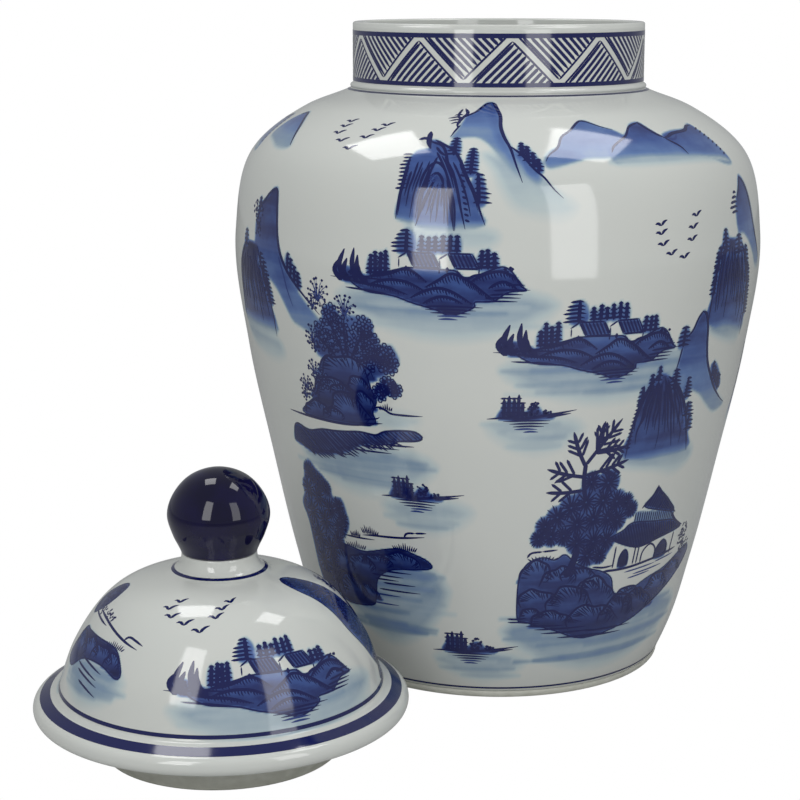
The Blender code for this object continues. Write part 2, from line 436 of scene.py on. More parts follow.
class Pen:
    """Draws on a sheet, with its own origin, scale and direction."""

    def __init__(self, sheet, x=0.0, y=0.0, across=1.0, up=1.0):
        self.sheet = sheet
        self.random = sheet.random
        self.x, self.y, self.across, self.up = x, y, across, up

    def at(self, x, y, across=1.0, up=1.0):
        """A pen at a point of this one's paper, scaled by across and up."""
        place = (self.x + self.across * x, self.y + self.up * y)
        return Pen(self.sheet, *place, self.across * across, self.up * up)

    def real(self, x, y):
        """A pen whose x runs in real mm at that height of the surface."""
        return self.at(x, y, self.sheet.skin.widening(self.y + self.up * y))

    def on_sheet(self, points):
        """Points of this pen's paper, in the sheet's own x and y."""
        return np.array(points, float) * (self.across, self.up) + (self.x, self.y)

    def wash(self, outline, top, base=None, soft=1.6, fade=0.0, sharp=False):
        """A tint inside an outline, whose corners are rounded unless it is sharp."""
        placed = self.on_sheet(outline)
        placed = placed if sharp else flowing(placed, closed=True, steps=3)
        self.sheet.tint(placed, top, top if base is None else base, soft, fade)

    def mass(self, outline, top, base):
        """A wash inside a dark brush line."""
        self.wash(outline, top, base, 1.2)
        placed = flowing(self.on_sheet(outline), closed=True)
        self.sheet.ribbon(np.vstack([placed, placed[:1]]), 0.8)

    def stroke(self, points, width=1.0, head=0.15, tail=0.3, ink=DARK, sharp=False):
        """One brush stroke, which flows through its points unless it is sharp."""
        placed = self.on_sheet(points)
        self.sheet.ribbon(placed if sharp else flowing(placed), width, head, tail, ink)

    def dab(self, x, y, size, ink=DARK):
        """A round touch of the brush."""
        self.stroke([(x - size / 2, y), (x + size / 2, y)], size, 0.45, 0.45, ink)

    def circle(self, x, y, radius, corners=10):
        """Corners of a round outline."""
        turn = np.arange(corners) / corners * 2 * math.pi
        return np.stack([x + radius * np.cos(turn), y + radius * np.sin(turn)], axis=1)

    def jitter(self, amount):
        """A random shift of up to amount either way."""
        return float(self.random.uniform(-amount, amount))


# ---------------------------------------------------------------- motifs


def along(line, share):
    """The point at a share of the length of a line."""
    points = np.array(line, float)
    run = np.concatenate([[0], np.cumsum(np.linalg.norm(np.diff(points, axis=0), axis=1))])
    where = np.asarray(share) * run[-1]
    return np.stack([np.interp(where, run, points[:, 0]), np.interp(where, run, points[:, 1])], axis=-1)


def polar(x, y, reach, angle):
    """The point at a distance and an angle, in radians, from (x, y)."""
    return x + reach * math.cos(angle), y + reach * math.sin(angle)


def bird(pen, x, y, size):
    """One gull: two wings that meet in a dip."""
    tilt = 0.12
    wings = [(-0.5, 0.06), (-0.28, 0.10), (-0.02, -0.10), (0.20, 0.12), (0.5, 0.20)]
    placed = [(x + size * u, y + size * (v + tilt * u)) for u, v in wings]
    pen.stroke(placed[:3], 1.5, 0.4, 0.1)
    pen.stroke(placed[2:], 1.5, 0.1, 0.5)


def pine(pen, x, y, height, reach, lean=0.0, one_sided=0):
    """A pine as a comb of level strokes on a trunk. one_sided is -1 or 1 for longer ones on that side."""
    full = 0.65 * reach
    shoulder = y + 0.7 * height
    crown = [
        (x - full, y), (x - full + lean, shoulder), (x + lean, y + height), (x + full + lean, shoulder),
        (x + full, y),
    ]
    pen.wash(crown, 0.46, 0.62, 1.8)
    pen.stroke([(x, y), (x + lean, y + height)], 2.0, 0.05, 0.2)
    row_pitch = 2.15
    rows = max(3, round(height / row_pitch))
    for row in range(rows):
        up = (row + 0.5) / rows
        half = reach * (1 - 0.55 * up * up) * pen.random.uniform(0.8, 1.1)
        middle = x + lean * up
        level = y + height * up + pen.jitter(0.15)
        left, right = {-1: (1.25, 0.55), 0: (1, 1), 1: (0.55, 1.25)}[one_sided]
        tips = (middle - half * left, level - 0.2), (middle + half * right, level - 0.2)
        pen.stroke([tips[0], (middle, level + 0.3), tips[1]], 1.3)


def grove(pen, line, count, height, reach, one_sided=0):
    """Pines side by side along a line."""
    for share in (np.arange(count) + 0.5) / count:
        x, y = along(line, share)
        tall = height * (0.8 + 0.4 * pen.random.random())
        pine(pen, x, y, tall, reach, pen.jitter(0.4), one_sided)


def mound(pen, x, y, half, height):
    """A leaning hump of rock: a dark brow over a paler face, with slanting strokes down the face."""
    lean = pen.random.uniform(0.05, 0.45)
    swell = pen.random.uniform(0, 2 * math.pi)

    def face(share, degrees):
        """Points at a share of the way from the middle of the foot to the brow, at angles round it."""
        a = np.radians(degrees)
        bulge = share * (1 + 0.08 * np.sin(3 * a + swell) + 0.05 * np.sin(7 * a + 2 * swell))
        up = height * bulge * np.sin(a)
        return np.stack([x + half * bulge * np.cos(a) - lean * up, y + up], axis=-1)

    pen.wash(face(1.0, np.linspace(178, 2, 11)), 0.54, 0.84, 1.3)
    pen.stroke(face(1.0, np.linspace(174, 10, 10)), 1.4, 0.15, 0.3)
    for degrees in np.linspace(158, 20, max(7, int(1.5 * half))):
        degrees = degrees + pen.jitter(4)
        foot = pen.random.uniform(0.50, 0.78)
        slant = [face(0.96, degrees), face((0.96 + foot) / 2, degrees - 4), face(foot, degrees - 11)]
        pen.stroke(slant, 0.7, 0.1, 0.6)


def ridge(pen, line, depth):
    """A long back of rock: a dark brow along a line, and a paler slope below it with slanting strokes."""
    brow = flowing(line)
    foot = brow.copy()
    foot[:, 1] -= depth * np.sin(np.linspace(0, math.pi, len(brow)))
    pen.wash(np.vstack([brow, foot[::-1]]), 0.52, 0.84, 1.4, sharp=True)
    pen.stroke(line, 1.5)
    pitch = 1.5
    length = np.linalg.norm(np.diff(brow, axis=0), axis=1).sum()
    for share in np.arange(0.03, 0.97, pitch / length):
        x, y = along(line, share)
        fall = depth * pen.random.uniform(0.35, 0.75) * math.sin(math.pi * share) ** 0.5
        slant = [(x, y), (x + 0.10 * fall, y - 0.5 * fall), (x + 0.35 * fall, y - fall)]
        pen.stroke(slant, 0.8, 0.1, 0.6)


def ripples(pen, left, right, y, count, drop):
    """Level strokes on water under something, ever shorter, of which the first three are dark."""
    middle, half = (left + right) / 2, (right - left) / 2
    for index in range(count):
        reach = half * (1 - 0.17 * index)
        centre = middle + pen.jitter(0.12) * half
        level = y - drop * index
        line = [(centre - reach, level), (centre, level + 0.3), (centre + reach, level)]
        pen.stroke(line, 1.05, 0.3, 0.4, DARK if index < 3 else MID)


def water(pen, left, right, top, bottom, tone):
    """A pale wash with level streaks in it."""
    middle, half = (left + right) / 2, (right - left) / 2
    height = top - bottom
    ellipse = [
        (left, top - 0.25 * height), (middle - 0.5 * half, top), (middle + 0.5 * half, top),
        (right, top - 0.3 * height), (middle + 0.6 * half, bottom + 0.2 * height), (middle, bottom),
        (middle - 0.6 * half, bottom + 0.25 * height),
    ]
    pen.wash(ellipse, tone, tone * 0.55, soft=9)
    for _ in range(int(height / 2.2)):
        level = pen.random.uniform(bottom + 0.15 * height, top)
        reach = half * pen.random.uniform(0.35, 0.85)
        shift = pen.jitter(0.35) * half
        thick = pen.random.uniform(0.5, 1.0)
        streak = tone * pen.random.choice([0.6, 1.1, 1.25])
        band = [
            (middle - reach + shift, level), (middle + shift, level + thick),
            (middle + reach + shift, level), (middle + shift, level - thick),
        ]
        pen.wash(band, streak, soft=4.5)


def hatch(pen, outline, lean, pitch, width, jitter=0.1):
    """Parallel strokes that fill an outline. lean is how far x moves for each mm up."""
    corners = np.array(outline, float)
    edges = list(zip(corners, np.roll(corners, -1, axis=0)))
    keys = corners[:, 0] - lean * corners[:, 1]
    for key in np.arange(keys.min() + pitch / 2, keys.max(), pitch):
        key = key + pen.jitter(jitter)
        crossings = []
        for a, b in edges:
            ka, kb = a[0] - lean * a[1] - key, b[0] - lean * b[1] - key
            if (ka > 0) != (kb > 0):
                crossings.append(a + (b - a) * ka / (ka - kb))
        crossings.sort(key=lambda point: point[1])
        for low, high in zip(crossings[::2], crossings[1::2]):
            pen.stroke([high, low], width, 0.1, 0.15)


def cliff(pen, left, right, top, base, lines, fade, width):
    """A rock wall between two sides, each listed from its foot up, with strokes that run down it."""
    pen.wash(list(left) + list(right)[::-1], top, base, 1.6, fade)
    for index in range(lines):
        share = (index + 0.5 + pen.jitter(0.3)) / lines
        start = pen.random.uniform(0.75, 0.97)
        end = pen.random.uniform(0.06, 0.45)
        points = []
        for t in np.linspace(start, end, 6):
            a, b = along(left, t), along(right, t)
            points.append(a + (b - a) * (share + pen.jitter(0.02)))
        pen.stroke(points, width * pen.random.uniform(0.6, 1.15), 0.1, 0.5)
    for side in (left, right):
        pen.stroke(side[::-1], 1.3, 0.05, 0.3)


def leaves(pen, x, y, reach, height, count, size, ink=DARK):
    """Dabs spread over an ellipse, as foliage."""
    for _ in range(count):
        turn = pen.random.uniform(0, 2 * math.pi)
        far = math.sqrt(pen.random.random())
        leaf = (x + reach * far * math.cos(turn), y + height * far * math.sin(turn))
        pen.dab(*leaf, size * pen.random.uniform(0.75, 1.2), ink)


def rings_of(pen, x, y, radius, count):
    """Points on three rings inside each other, fewer on the inner ones."""
    for far, share in ((radius, 1.0), (radius * 0.64, 0.62), (radius * 0.30, 0.34)):
        number = max(3, int(count * share))
        for turn in np.arange(number) / number * 2 * math.pi:
            a = turn + pen.jitter(0.2)
            reach = far * (1 + pen.jitter(0.12))
            yield polar(x, y, reach, a)


def dotted_clump(pen, x, y, radius, count):
    """Round leaves at the ends of fine twigs, on bare ground."""
    for leaf_x, leaf_y in rings_of(pen, x, y, radius, count):
        pen.dab(leaf_x, leaf_y, pen.random.uniform(1.4, 1.9))
        bend = ((x + leaf_x) / 2, (y + leaf_y) / 2 - 0.5)
        pen.stroke([(x, y - 0.8 * radius), bend, (leaf_x, leaf_y)], 0.45, ink=MID)


def leafy_clump(pen, x, y, radius, count):
    """Outlined leaves packed over a wash."""
    pen.wash(pen.circle(x, y, radius + 0.4), 0.56, 0.70, 1.2)
    for leaf_x, leaf_y in rings_of(pen, x, y, radius, 0.8 * count):
        leaf = pen.circle(leaf_x, leaf_y, pen.random.uniform(1.1, 1.4), 7)
        pen.stroke(np.vstack([leaf, leaf[:1]]), 0.8, 0, 0, sharp=True)


def needle_burst(pen, x, y, radius):
    """A tuft of needles: strokes that fan out over a wash."""
    pen.wash(pen.circle(x, y, 0.85 * radius), 0.62, 0.72, 1.6)
    needles = 18
    for index in range(needles):
        a = 2 * math.pi * (index + pen.jitter(0.25)) / needles
        far = radius * pen.random.uniform(0.80, 1.02)
        pen.stroke([polar(x, y, radius * 0.06, a), polar(x, y, far, a)], 1.0, 0.1, 0.3)


def twig(pen, x, y, angle, length, forks):
    """A bare branch with a number of forks, each a pair of side twigs."""
    a = math.radians(angle)
    bend = polar(x - 0.6, y - 0.6, 0.5 * length, a)
    pen.stroke([(x, y), bend, polar(x, y, length, a)], 2.1, 0.02, 0.15)
    for index in range(forks):
        root = polar(x, y, length * (0.30 + 0.55 * index / forks), a)
        for side in (-1, 1):
            fork = a + side * math.radians(42 + pen.jitter(8))
            reach = length * (0.44 - 0.07 * index)
            pen.stroke([root, polar(*root, reach, fork)], 1.6, 0.05, 0.1)


def grass(pen, x, y, reach, height, count):
    """Blades that spread from a line."""
    for index in range(count):
        share = (index + 0.5) / count - 0.5
        tall = height * (1 - abs(share)) * pen.random.uniform(0.7, 1.15)
        pen.stroke([(x + reach * share, y), (x + reach * share * 1.35, y + tall)], 0.9, 0.1, 0.6)


def low_bridge(pen, x, y, length, rise=2.6):
    """A plank that rises over the water."""
    middle = (x + 0.5 * length, y + rise + 0.6)
    pen.stroke([(x, y), (x + 0.14 * length, y + rise), middle], 1.2, 0.1, 0.1)
    pen.stroke([middle, (x + length, y + rise + 1.2)], 1.2, 0.05, 0.4)


def house(pen, x, y, width):
    """A tiled roof with its ridge at (x, y), a gable at its left end and a low front wall."""
    roof = [(x, y), (x + width, y), (x + width + 3.8, y - 7.2), (x + 3.6, y - 7.2)]
    pen.wash(roof, 0.72, sharp=True)
    hatch(pen, roof, -0.5, 1.9, 1.0)
    for start, end, thick, taper in (
        (0, 1, 0.9, 0.05), (0, 3, 1.0, 0.05), (3, 2, 1.1, 0.02), (1, 2, 0.8, 0.05),
    ):
        pen.stroke([roof[start], roof[end]], thick, taper, taper, sharp=True)
    pen.stroke([(x, y), (x - 4.6, y - 3.0)], 0.9, 0.05, 0.2)
    pen.stroke([(x - 4.0, y - 3.0), (x - 4.0, y - 7.5)], 0.7, 0.05, 0.2)
    gable = [(x - 3.4, y - 3.4), (x, y - 1.0), (x + 3.2, y - 7.4), (x - 3.4, y - 7.4)]
    pen.wash(gable, 0.0, soft=0.8, sharp=True)
    pen.stroke([(x + width + 3.4, y - 7.2), (x + width + 3.2, y - 10.0)], 0.7, 0.05, 0.2)
    pen.stroke([(x - 0.4, y - 9.4), (x - 0.2, y - 6.6)], 1.5, 0.1, 0.2)


# ---------------------------------------------------------------- scenery


def tall_mountain(pen):
    """A steep peak whose foot is lost in mist, with a lower ridge and pines on its right."""
    pen.wash([
        (-33.5, 111), (-32, 117), (-29.5, 125), (-28, 130), (-22.5, 134), (-19.5, 140), (-15.5, 146),
        (-10.5, 146), (-7.6, 139), (-5.2, 130), (-5, 120), (-3, 113), (0.7, 104.5), (8, 96), (15, 89),
        (21, 82), (27, 75), (20, 71), (11, 70), (4, 78), (-1, 88), (-6, 98), (-12, 107), (-20, 112),
    ], 0.62, 0.08, 2.6)
    pen.wash([
        (-12, 146), (-8, 138), (-5.6, 126), (-4, 116), (1, 103), (4, 92), (6, 82), (1, 86), (-4, 100),
        (-9, 116), (-13, 132),
    ], 0.66, 0.34, 4.0)
    pen.wash([(1, 104), (8, 96), (15, 88), (13, 83), (8, 88), (6, 94)], 0.66, 0.4, 3.0)
    pen.wash([
        (-14, 100), (-8, 90), (-4, 80), (4, 70), (24, 66), (32, 72), (20, 80), (6, 88), (-4, 98),
    ], 0.20, 0.08, 7)
    pen.stroke([
        (-12.5, 146.4), (-9.6, 145), (-7.4, 138.5), (-5.0, 130), (-4.9, 121), (-3, 112.5), (0.4, 104),
        (2.8, 94), (5.8, 84),
    ], 1.9, 0.05, 0.5)
    pen.stroke([
        (-11, 146.6), (-15.5, 144.8), (-19, 140), (-22, 135), (-26, 131.5), (-30, 128.4),
    ], 1.5, 0.1, 0.2)
    pen.stroke([(-30.5, 122), (-33, 116.5), (-34.6, 112)], 1.1, 0.1, 0.5)
    pen.stroke([(0.4, 105.5), (6, 100), (12, 91.5), (17, 86.5), (21.5, 80.5), (26, 76)], 1.3, 0.1, 0.5)
    pen.stroke([(-30.6, 138.5), (-27.8, 133), (-30.5, 128), (-32.5, 122.5), (-31.5, 119)], 1.8)
    pen.stroke([(-32.5, 137.5), (-33.8, 131), (-31, 125.5)], 1.4)
    for level, reach in ((131, 5), (128.4, 8.6), (126, 7.2), (123.6, 5.4)):
        pen.stroke([(-31.5 - reach, level - 0.8), (-34, level + 0.6), (-30.5, level)], 1.3, 0.4, 0.1)
    for x, y, height in ((6.5, 98.5, 10), (9.5, 95.5, 10.5), (12.3, 92.2, 9.5), (14.8, 89.5, 8)):
        pine(pen, x, y, height, 3.0)


def leaping_cliff(pen):
    """Rock columns under a crest that leaps over them, with pines beside them and mist at their feet."""
    pen.wash([(-50, 68), (-47, 62), (-12, 61), (-6, 56), (-14, 51), (-34, 52), (-50, 56)], 0.22, 0.08, 6)
    pen.wash([
        (-47.5, 108.5), (-42, 109.5), (-36, 106), (-30, 102), (-25.5, 95.5), (-20, 80), (-17, 66),
        (-38, 66), (-54, 66), (-54, 98), (-45, 103.5),
    ], 0.58, 0.58, 1.8, 8)
    cliff(
        pen, [(-46.6, 62), (-43, 74), (-38, 86)], [(-27.6, 60), (-29, 72), (-32, 86)], 0.66, 0.52, 9, 5,
        1.0,
    )
    cliff(
        pen, [(-57, 65), (-56, 76), (-54.6, 88), (-54, 97)], [(-46, 63), (-44.4, 76), (-42, 86), (-39, 98)],
        0.70, 0.58, 7, 5, 1.3,
    )
    cliff(
        pen, [(-27, 60), (-27.6, 72), (-31, 84), (-35, 93), (-40, 101)],
        [(-12.4, 63), (-15, 70), (-18, 79), (-22, 87), (-28, 99)], 0.66, 0.54, 4, 6, 1.2,
    )
    for points in (
        [
            (-47.5, 109), (-43, 107.5), (-38, 105.5), (-35, 101), (-33, 95), (-29.5, 89), (-26.5, 80),
            (-24.4, 71), (-22, 61),
        ],
        [(-43, 109.6), (-37, 106.2), (-31, 102.6), (-26, 95.6), (-22, 87)],
        [(-46, 82), (-43.6, 90), (-39, 94.6), (-34, 91), (-31.6, 84)],
        [(-43, 79), (-41, 85.6), (-37.6, 88.6), (-34.4, 85), (-33.4, 79)],
        [(-41, 104.5), (-38, 101), (-34.6, 98.6)],
    ):
        pen.stroke(points, 1.5, 0.1, 0.3)
    for index in range(9):
        y = 88 - 2.8 * index
        pen.stroke([(-25.6 + 0.42 * index, y), (-23.2 + 0.42 * index, y - 1)], 1.2)
    leaves(pen, -38, 84, 4.0, 4.5, 14, 1.3, MID)
    for y in np.arange(80, 99, 2.1):
        pen.stroke([(-58.4 + pen.jitter(0.6), y), (-53, y + 0.4)], 1.2)
    pen.stroke([(-47.6, 116), (-46.4, 108), (-44, 103)], 2.8, 0.2, 0.4)
    pen.stroke([(-53, 109.4), (-49, 110.6), (-44.6, 108.6)], 2.2, 0.2, 0.4)
    pine(pen, -30.4, 99, 13, 4.6)
    pine(pen, -20.4, 88, 16.5, 4.6, 0.5)
    pine(pen, -15.6, 73, 16, 5.2, -0.8, 1)


def distant_range(pen):
    """Three peaks of a far range on one hazy base."""
    pen.wash([
        (18.5, 96), (23, 102), (27, 104.5), (31, 112), (38, 117), (46, 124), (52, 125), (60, 119.5),
        (67, 116.5), (72, 110), (62, 103), (57, 97), (40, 96.5), (26, 93), (20, 92),
    ], 0.56, 0.34, 2.0)
    pen.wash([(18.5, 96), (22, 101), (28, 103), (40, 98), (30, 94), (20, 92)], 0.56, 0.34, 4)
    pen.stroke([
        (18.8, 95.5), (21.2, 99.6), (27, 104.5), (31, 112), (38, 117), (46, 124), (51, 124.6), (60, 119.5),
        (67, 116.5),
    ], 1.3, 0.2, 0.3)
    pen.wash([
        (56, 101), (62, 106), (70, 110.5), (78, 116), (83, 120.5), (91.5, 122), (95, 116), (99, 110),
        (104, 105), (109, 99), (110, 94), (90, 96), (70, 96), (58, 93),
    ], 0.70, 0.40, 2.0)
    pen.wash([
        (100, 109.5), (112, 113), (127, 113.5), (139.5, 117), (143, 110), (147, 98), (150, 88), (140, 88),
        (125, 93.5), (110, 94.5), (106, 101),
    ], 0.66, 0.48, 2.0)
    pen.wash([(60, 97), (100, 97), (140, 93), (148, 88), (120, 91), (60, 92)], 0.24, 0.10, 4)
    pen.stroke([
        (57.6, 100), (60.5, 104), (66, 107.5), (73, 111.5), (80, 118), (85.5, 120.3), (91, 121.6),
    ], 1.3, 0.1, 0.1)
    pen.stroke([(90.4, 122), (93.2, 117), (97, 111.6), (101, 108.4)], 2.0, 0.1, 0.2)
    pen.stroke([
        (100, 108.2), (105, 109), (110, 110.8), (117, 111.6), (127, 112.6), (134, 115.6), (140, 115.8),
    ], 2.0, 0.2, 0.2)
    pen.stroke([(101, 108.2), (105, 104.5), (108.6, 101), (110.4, 96)], 1.6, 0.1, 0.5)
    pen.stroke([(104, 107.6), (109, 106.8), (114, 110)], 1.4, ink=MID)
    for index in range(8):
        y = 112 - 2.7 * index
        pen.stroke([(139.4 + 0.9 * index, y), (143.6 + 0.7 * index, y + 1.2)], 1.2)


def half_ridge(pen):
    """The end of a distant ridge."""
    pen.wash([
        (-190, 116), (-182, 123), (-175, 125), (-166, 120), (-158, 114), (-151, 106), (-145, 98),
        (-158, 96), (-175, 100), (-190, 104),
    ], 0.62, 0.22, 3.0)
    pen.stroke([(-184, 122), (-176, 124.6), (-167, 119.6), (-158, 113), (-151, 105.5), (-146, 99)], 1.7)


def rocky_island(pen):
    """An island of humped rock with two tiled houses between groves of pines."""
    water(pen, -88, 22, 31, 6, 0.26)
    pen.mass([
        (-82, 34), (-74, 35.5), (-64, 36.5), (-57, 38.5), (-53, 41), (-46, 41.5), (-30, 41), (-26, 40.5),
        (-22, 37.5), (-16, 38.6), (-9, 41.5), (-3, 43), (2, 39), (5, 33.5), (8, 31.4), (-1, 30.5), (-8, 26),
        (-17, 25.5), (-17, 23), (-24, 19.5), (-30, 18.5), (-36, 21), (-48, 24), (-58, 27), (-73, 28.5),
    ], 0.70, 0.84)
    pen.wash([(-47, 41), (-28, 41), (-22, 35), (-34, 36), (-44, 37)], 0.46, 0.66, 3.0)
    for line, depth in (
        ([(-71.4, 35.7), (-60.8, 38.4), (-52, 40.6), (-47.7, 39.8), (-43.6, 37.3), (-40, 34.6)], 5),
        ([(-19.3, 35), (-15, 38), (-8.3, 40.4), (-2.8, 40.3), (2.7, 37.3), (6.5, 33)], 5),
        ([(-69.6, 32.4), (-60.8, 34.8), (-52, 34.6), (-45.7, 32.4), (-41, 30)], 4),
        ([(-10.5, 32.4), (-4, 35.7), (1.6, 33.5), (3.8, 31)], 3),
        ([
            (-41.3, 32), (-34.7, 35.7), (-29.2, 39.2), (-23.7, 38), (-18.2, 34.6), (-12.7, 30.3),
            (-7.2, 26.4),
        ], 6),
        ([(-79.5, 33), (-70.8, 31.9), (-60.8, 31), (-50, 28)], 3),
        ([(-48.8, 26.4), (-41.3, 30.3), (-34.7, 31.9), (-29.2, 30.8), (-23.7, 28), (-18, 24.4)], 4),
        ([(-42.4, 24), (-34.7, 27.5), (-28, 27), (-22.6, 24.3)], 3.4),
    ):
        ridge(pen, line, depth)
    pen.stroke([(-58, 38), (-52, 41), (-47, 41.4)], 1.3)
    pen.stroke([(-25.6, 41), (-22, 36.6), (-17, 38.6), (-12, 39.6)], 1.4)
    pen.stroke([(-93, 34.2), (-86, 34.2), (-76, 35), (-60, 34.5)], 1.1, 0.4, 0.4)
    pen.wash([(-91, 37), (-88, 40), (-82, 40), (-76, 38), (-69, 33), (-84, 32)], 0.66, 0.92, 1.4)
    for root, bend, tip, top in (
        (-86, -90.5, -88, 43), (-84, -87.6, -84.8, 48.6), (-82, -85, -83, 44), (-77, -80, -79.2, 49.4),
        (-73, -77, -77, 46), (-71, -75.6, -76, 41),
    ):
        pen.stroke([(root, 32.6), (bend, (32 + top) / 2), (tip, top)], 2.9, 0.1, 0.35)
    leaves(pen, -82, 36, 8, 3, 26, 1.5)
    grove(pen, [(-71, 36.5), (-60, 37.5)], 4, 11, 2.8)
    pine(pen, -51, 48.5, 12, 6.6, 0.2, -1)
    grove(pen, [(-45, 49.4), (-24, 49.4)], 6, 8, 2.6)
    grove(pen, [(-15.5, 41.5), (-6, 41.5)], 3, 8.6, 3.0)
    leaves(pen, -1, 41.5, 3.0, 2.0, 9, 1.5)
    house(pen, -50.5, 49, 13.1)
    house(pen, -30, 49, 11.7)
    for y, left, right in ((34, -2, 7), (31.5, -8, 9.6), (29.3, -10, 6), (27.6, -12, 5), (25.8, -14, 3.5)):
        pen.stroke([(left, y - 0.2), ((left + right) / 2, y + 0.2), (right, y)], 0.95, 0.1, 0.4)
    ripples(pen, -44, -14, 22.6, 5, 1.6)
    pen.stroke([(-84, 29.4), (-70, 28.6), (-58, 27.2)], 1.0)


def islet(pen):
    """A bushy islet, 45 mm from tip to tip, on one long waterline."""
    water(pen, -21, 27, -2, -20, 0.20)
    pen.wash([
        (-15.4, -1.5), (-15, 4), (-13, 8), (-8, 8), (-5, 6), (-3, 2.5), (0, 5.5), (3.6, 5.4), (6, 2.4),
        (10, 1.8), (11, -1.4),
    ], 0.66, 0.84, 1.4)
    for x, top in ((-13.6, 10.0), (-11.2, 11.6), (-8.6, 10.2), (-6.4, 12.2), (-4.4, 8)):
        pen.stroke([(x, -1), (x + 0.2, top)], 1.8, 0.05, 0.15)
        for level in np.arange(2.4, top, 2.5):
            pen.stroke([(x - 1.7, level), (x + 1.7, level + 0.2)], 1.1)
    leaves(pen, 1.6, 4.6, 3.0, 3.4, 26, 1.5)
    leaves(pen, 8, 1.6, 2.8, 1.7, 14, 1.5)
    leaves(pen, -6, 0.6, 9.5, 1.7, 30, 1.6)
    pen.stroke([(-22, -1.2), (-14, -0.6), (-4, -1), (8, 0.6), (23.4, 3.0)], 1.5, 0.2, 0.3)
    pen.stroke([(8, -0.8), (14, 0.4), (20.6, 1.2)], 1.2, 0.2, 0.4)
    ripples(pen, -13, 11, -2.4, 5, 1.5)


def upper_cliff(pen):
    """A dark wooded cliff before a peak."""
    pen.wash([
        (141, 66), (146, 73), (151, 80), (156, 78), (161, 70), (166, 58), (172, 44), (180, 30), (172, 28),
        (160, 42), (150, 50), (142, 52),
    ], 0.78, 0.30, 2.4, 6)
    pen.stroke([(151.5, 80), (156.5, 76), (160.5, 69), (165, 57), (171, 45), (178, 34)], 1.9)
    pen.stroke([(152, 80), (147, 73.5), (143, 68.5)], 1.5)
    for level, reach in ((72, 2), (69.5, 4), (67, 5.6), (64.5, 7), (62, 5)):
        pen.stroke([(141 - reach, level), (141, level + 0.5), (143, level)], 1.4)
    cliff(
        pen, [(116.5, 6), (117, 22), (120, 38), (127, 49)], [(160, -6), (158, 14), (154, 32), (146, 46)],
        0.90, 0.58, 15, 9, 1.5,
    )
    grove(pen, [(117.5, 18), (119, 30), (124, 42)], 4, 9, 3.6, -1)
    pine(pen, 128, 42, 13, 4.6)
    pine(pen, 142.6, 40, 11, 6)
    grove(pen, [(150, 38), (156, 20), (160, 2)], 6, 9, 5, 1)
    pen.wash([(118, 4), (140, 4), (158, -6), (150, -9), (130, -3)], 0.30, 0.08, 5)


def near_peak(pen):
    """A slender peak that sweeps down to the right into mist."""
    pen.wash([
        (98, -8), (100, 0), (105, 5), (108.6, 11.5), (111.6, 14), (114.6, 11), (117, 4), (119.4, -6),
        (123, -16), (129, -24), (136, -31), (146, -38), (156, -44), (142, -46), (130, -40), (119, -32),
        (108, -28), (97, -26),
    ], 0.74, 0.26, 2.4)
    pen.stroke([
        (110, 14), (114, 12), (117, 4.6), (119.4, -6), (123, -15.6), (129, -24), (136, -31.6), (147, -39),
        (156, -43),
    ], 1.8, 0.05, 0.5)
    pen.stroke([(111, 14.2), (107.6, 10.6), (104.6, 4.6), (100, 0.6)], 1.4, 0.1, 0.3)
    pen.stroke([(98.4, -4), (97, -12), (95.4, -18)], 1.1, 0.1, 0.6)
    pine(pen, 98.6, -4, 11.6, 5.4)
    pen.wash([(127, -18), (132, -17), (139, -24), (143, -31), (138, -32), (131, -26)], 0.86, 0.9, 1.8)
    grove(pen, [(129, -24), (141, -34)], 5, 8, 2.4, 1)


def striped_cliff(pen):
    """A tall rock wall with pines on its shoulders and mist round its foot."""
    pen.wash([
        (66, -58), (90, -61), (118, -60), (126, -68), (112, -76), (92, -71), (68, -66),
    ], 0.26, 0.08, 6)
    cliff(
        pen, [(69.5, -62), (71, -46), (74, -32), (80, -21), (85.6, -17)],
        [(119, -64), (114, -50), (108, -36), (99, -24), (91, -18.6)], 0.84, 0.62, 17, 6, 1.5,
    )
    for x, y, height, reach, side in (
        (84.6, -21, 9, 2.6, 0), (80, -26, 10, 2.8, 0), (75, -33, 11, 3.0, -1), (97, -27, 12, 4.6, 0),
        (107.4, -33, 12, 4.4, 1), (111, -44, 9, 5.4, 1), (114.4, -52, 9, 5.0, 1),
    ):
        pine(pen, x, y, height, reach, 0, side)
    for y in np.arange(-56, -30, 2.1):
        x = along([(70, -58), (71, -46), (74, -32)], (y + 58) / 28)[0]
        pen.stroke([(x - 1.8, y), (x + 1.6, y + 0.4)], 1.1)


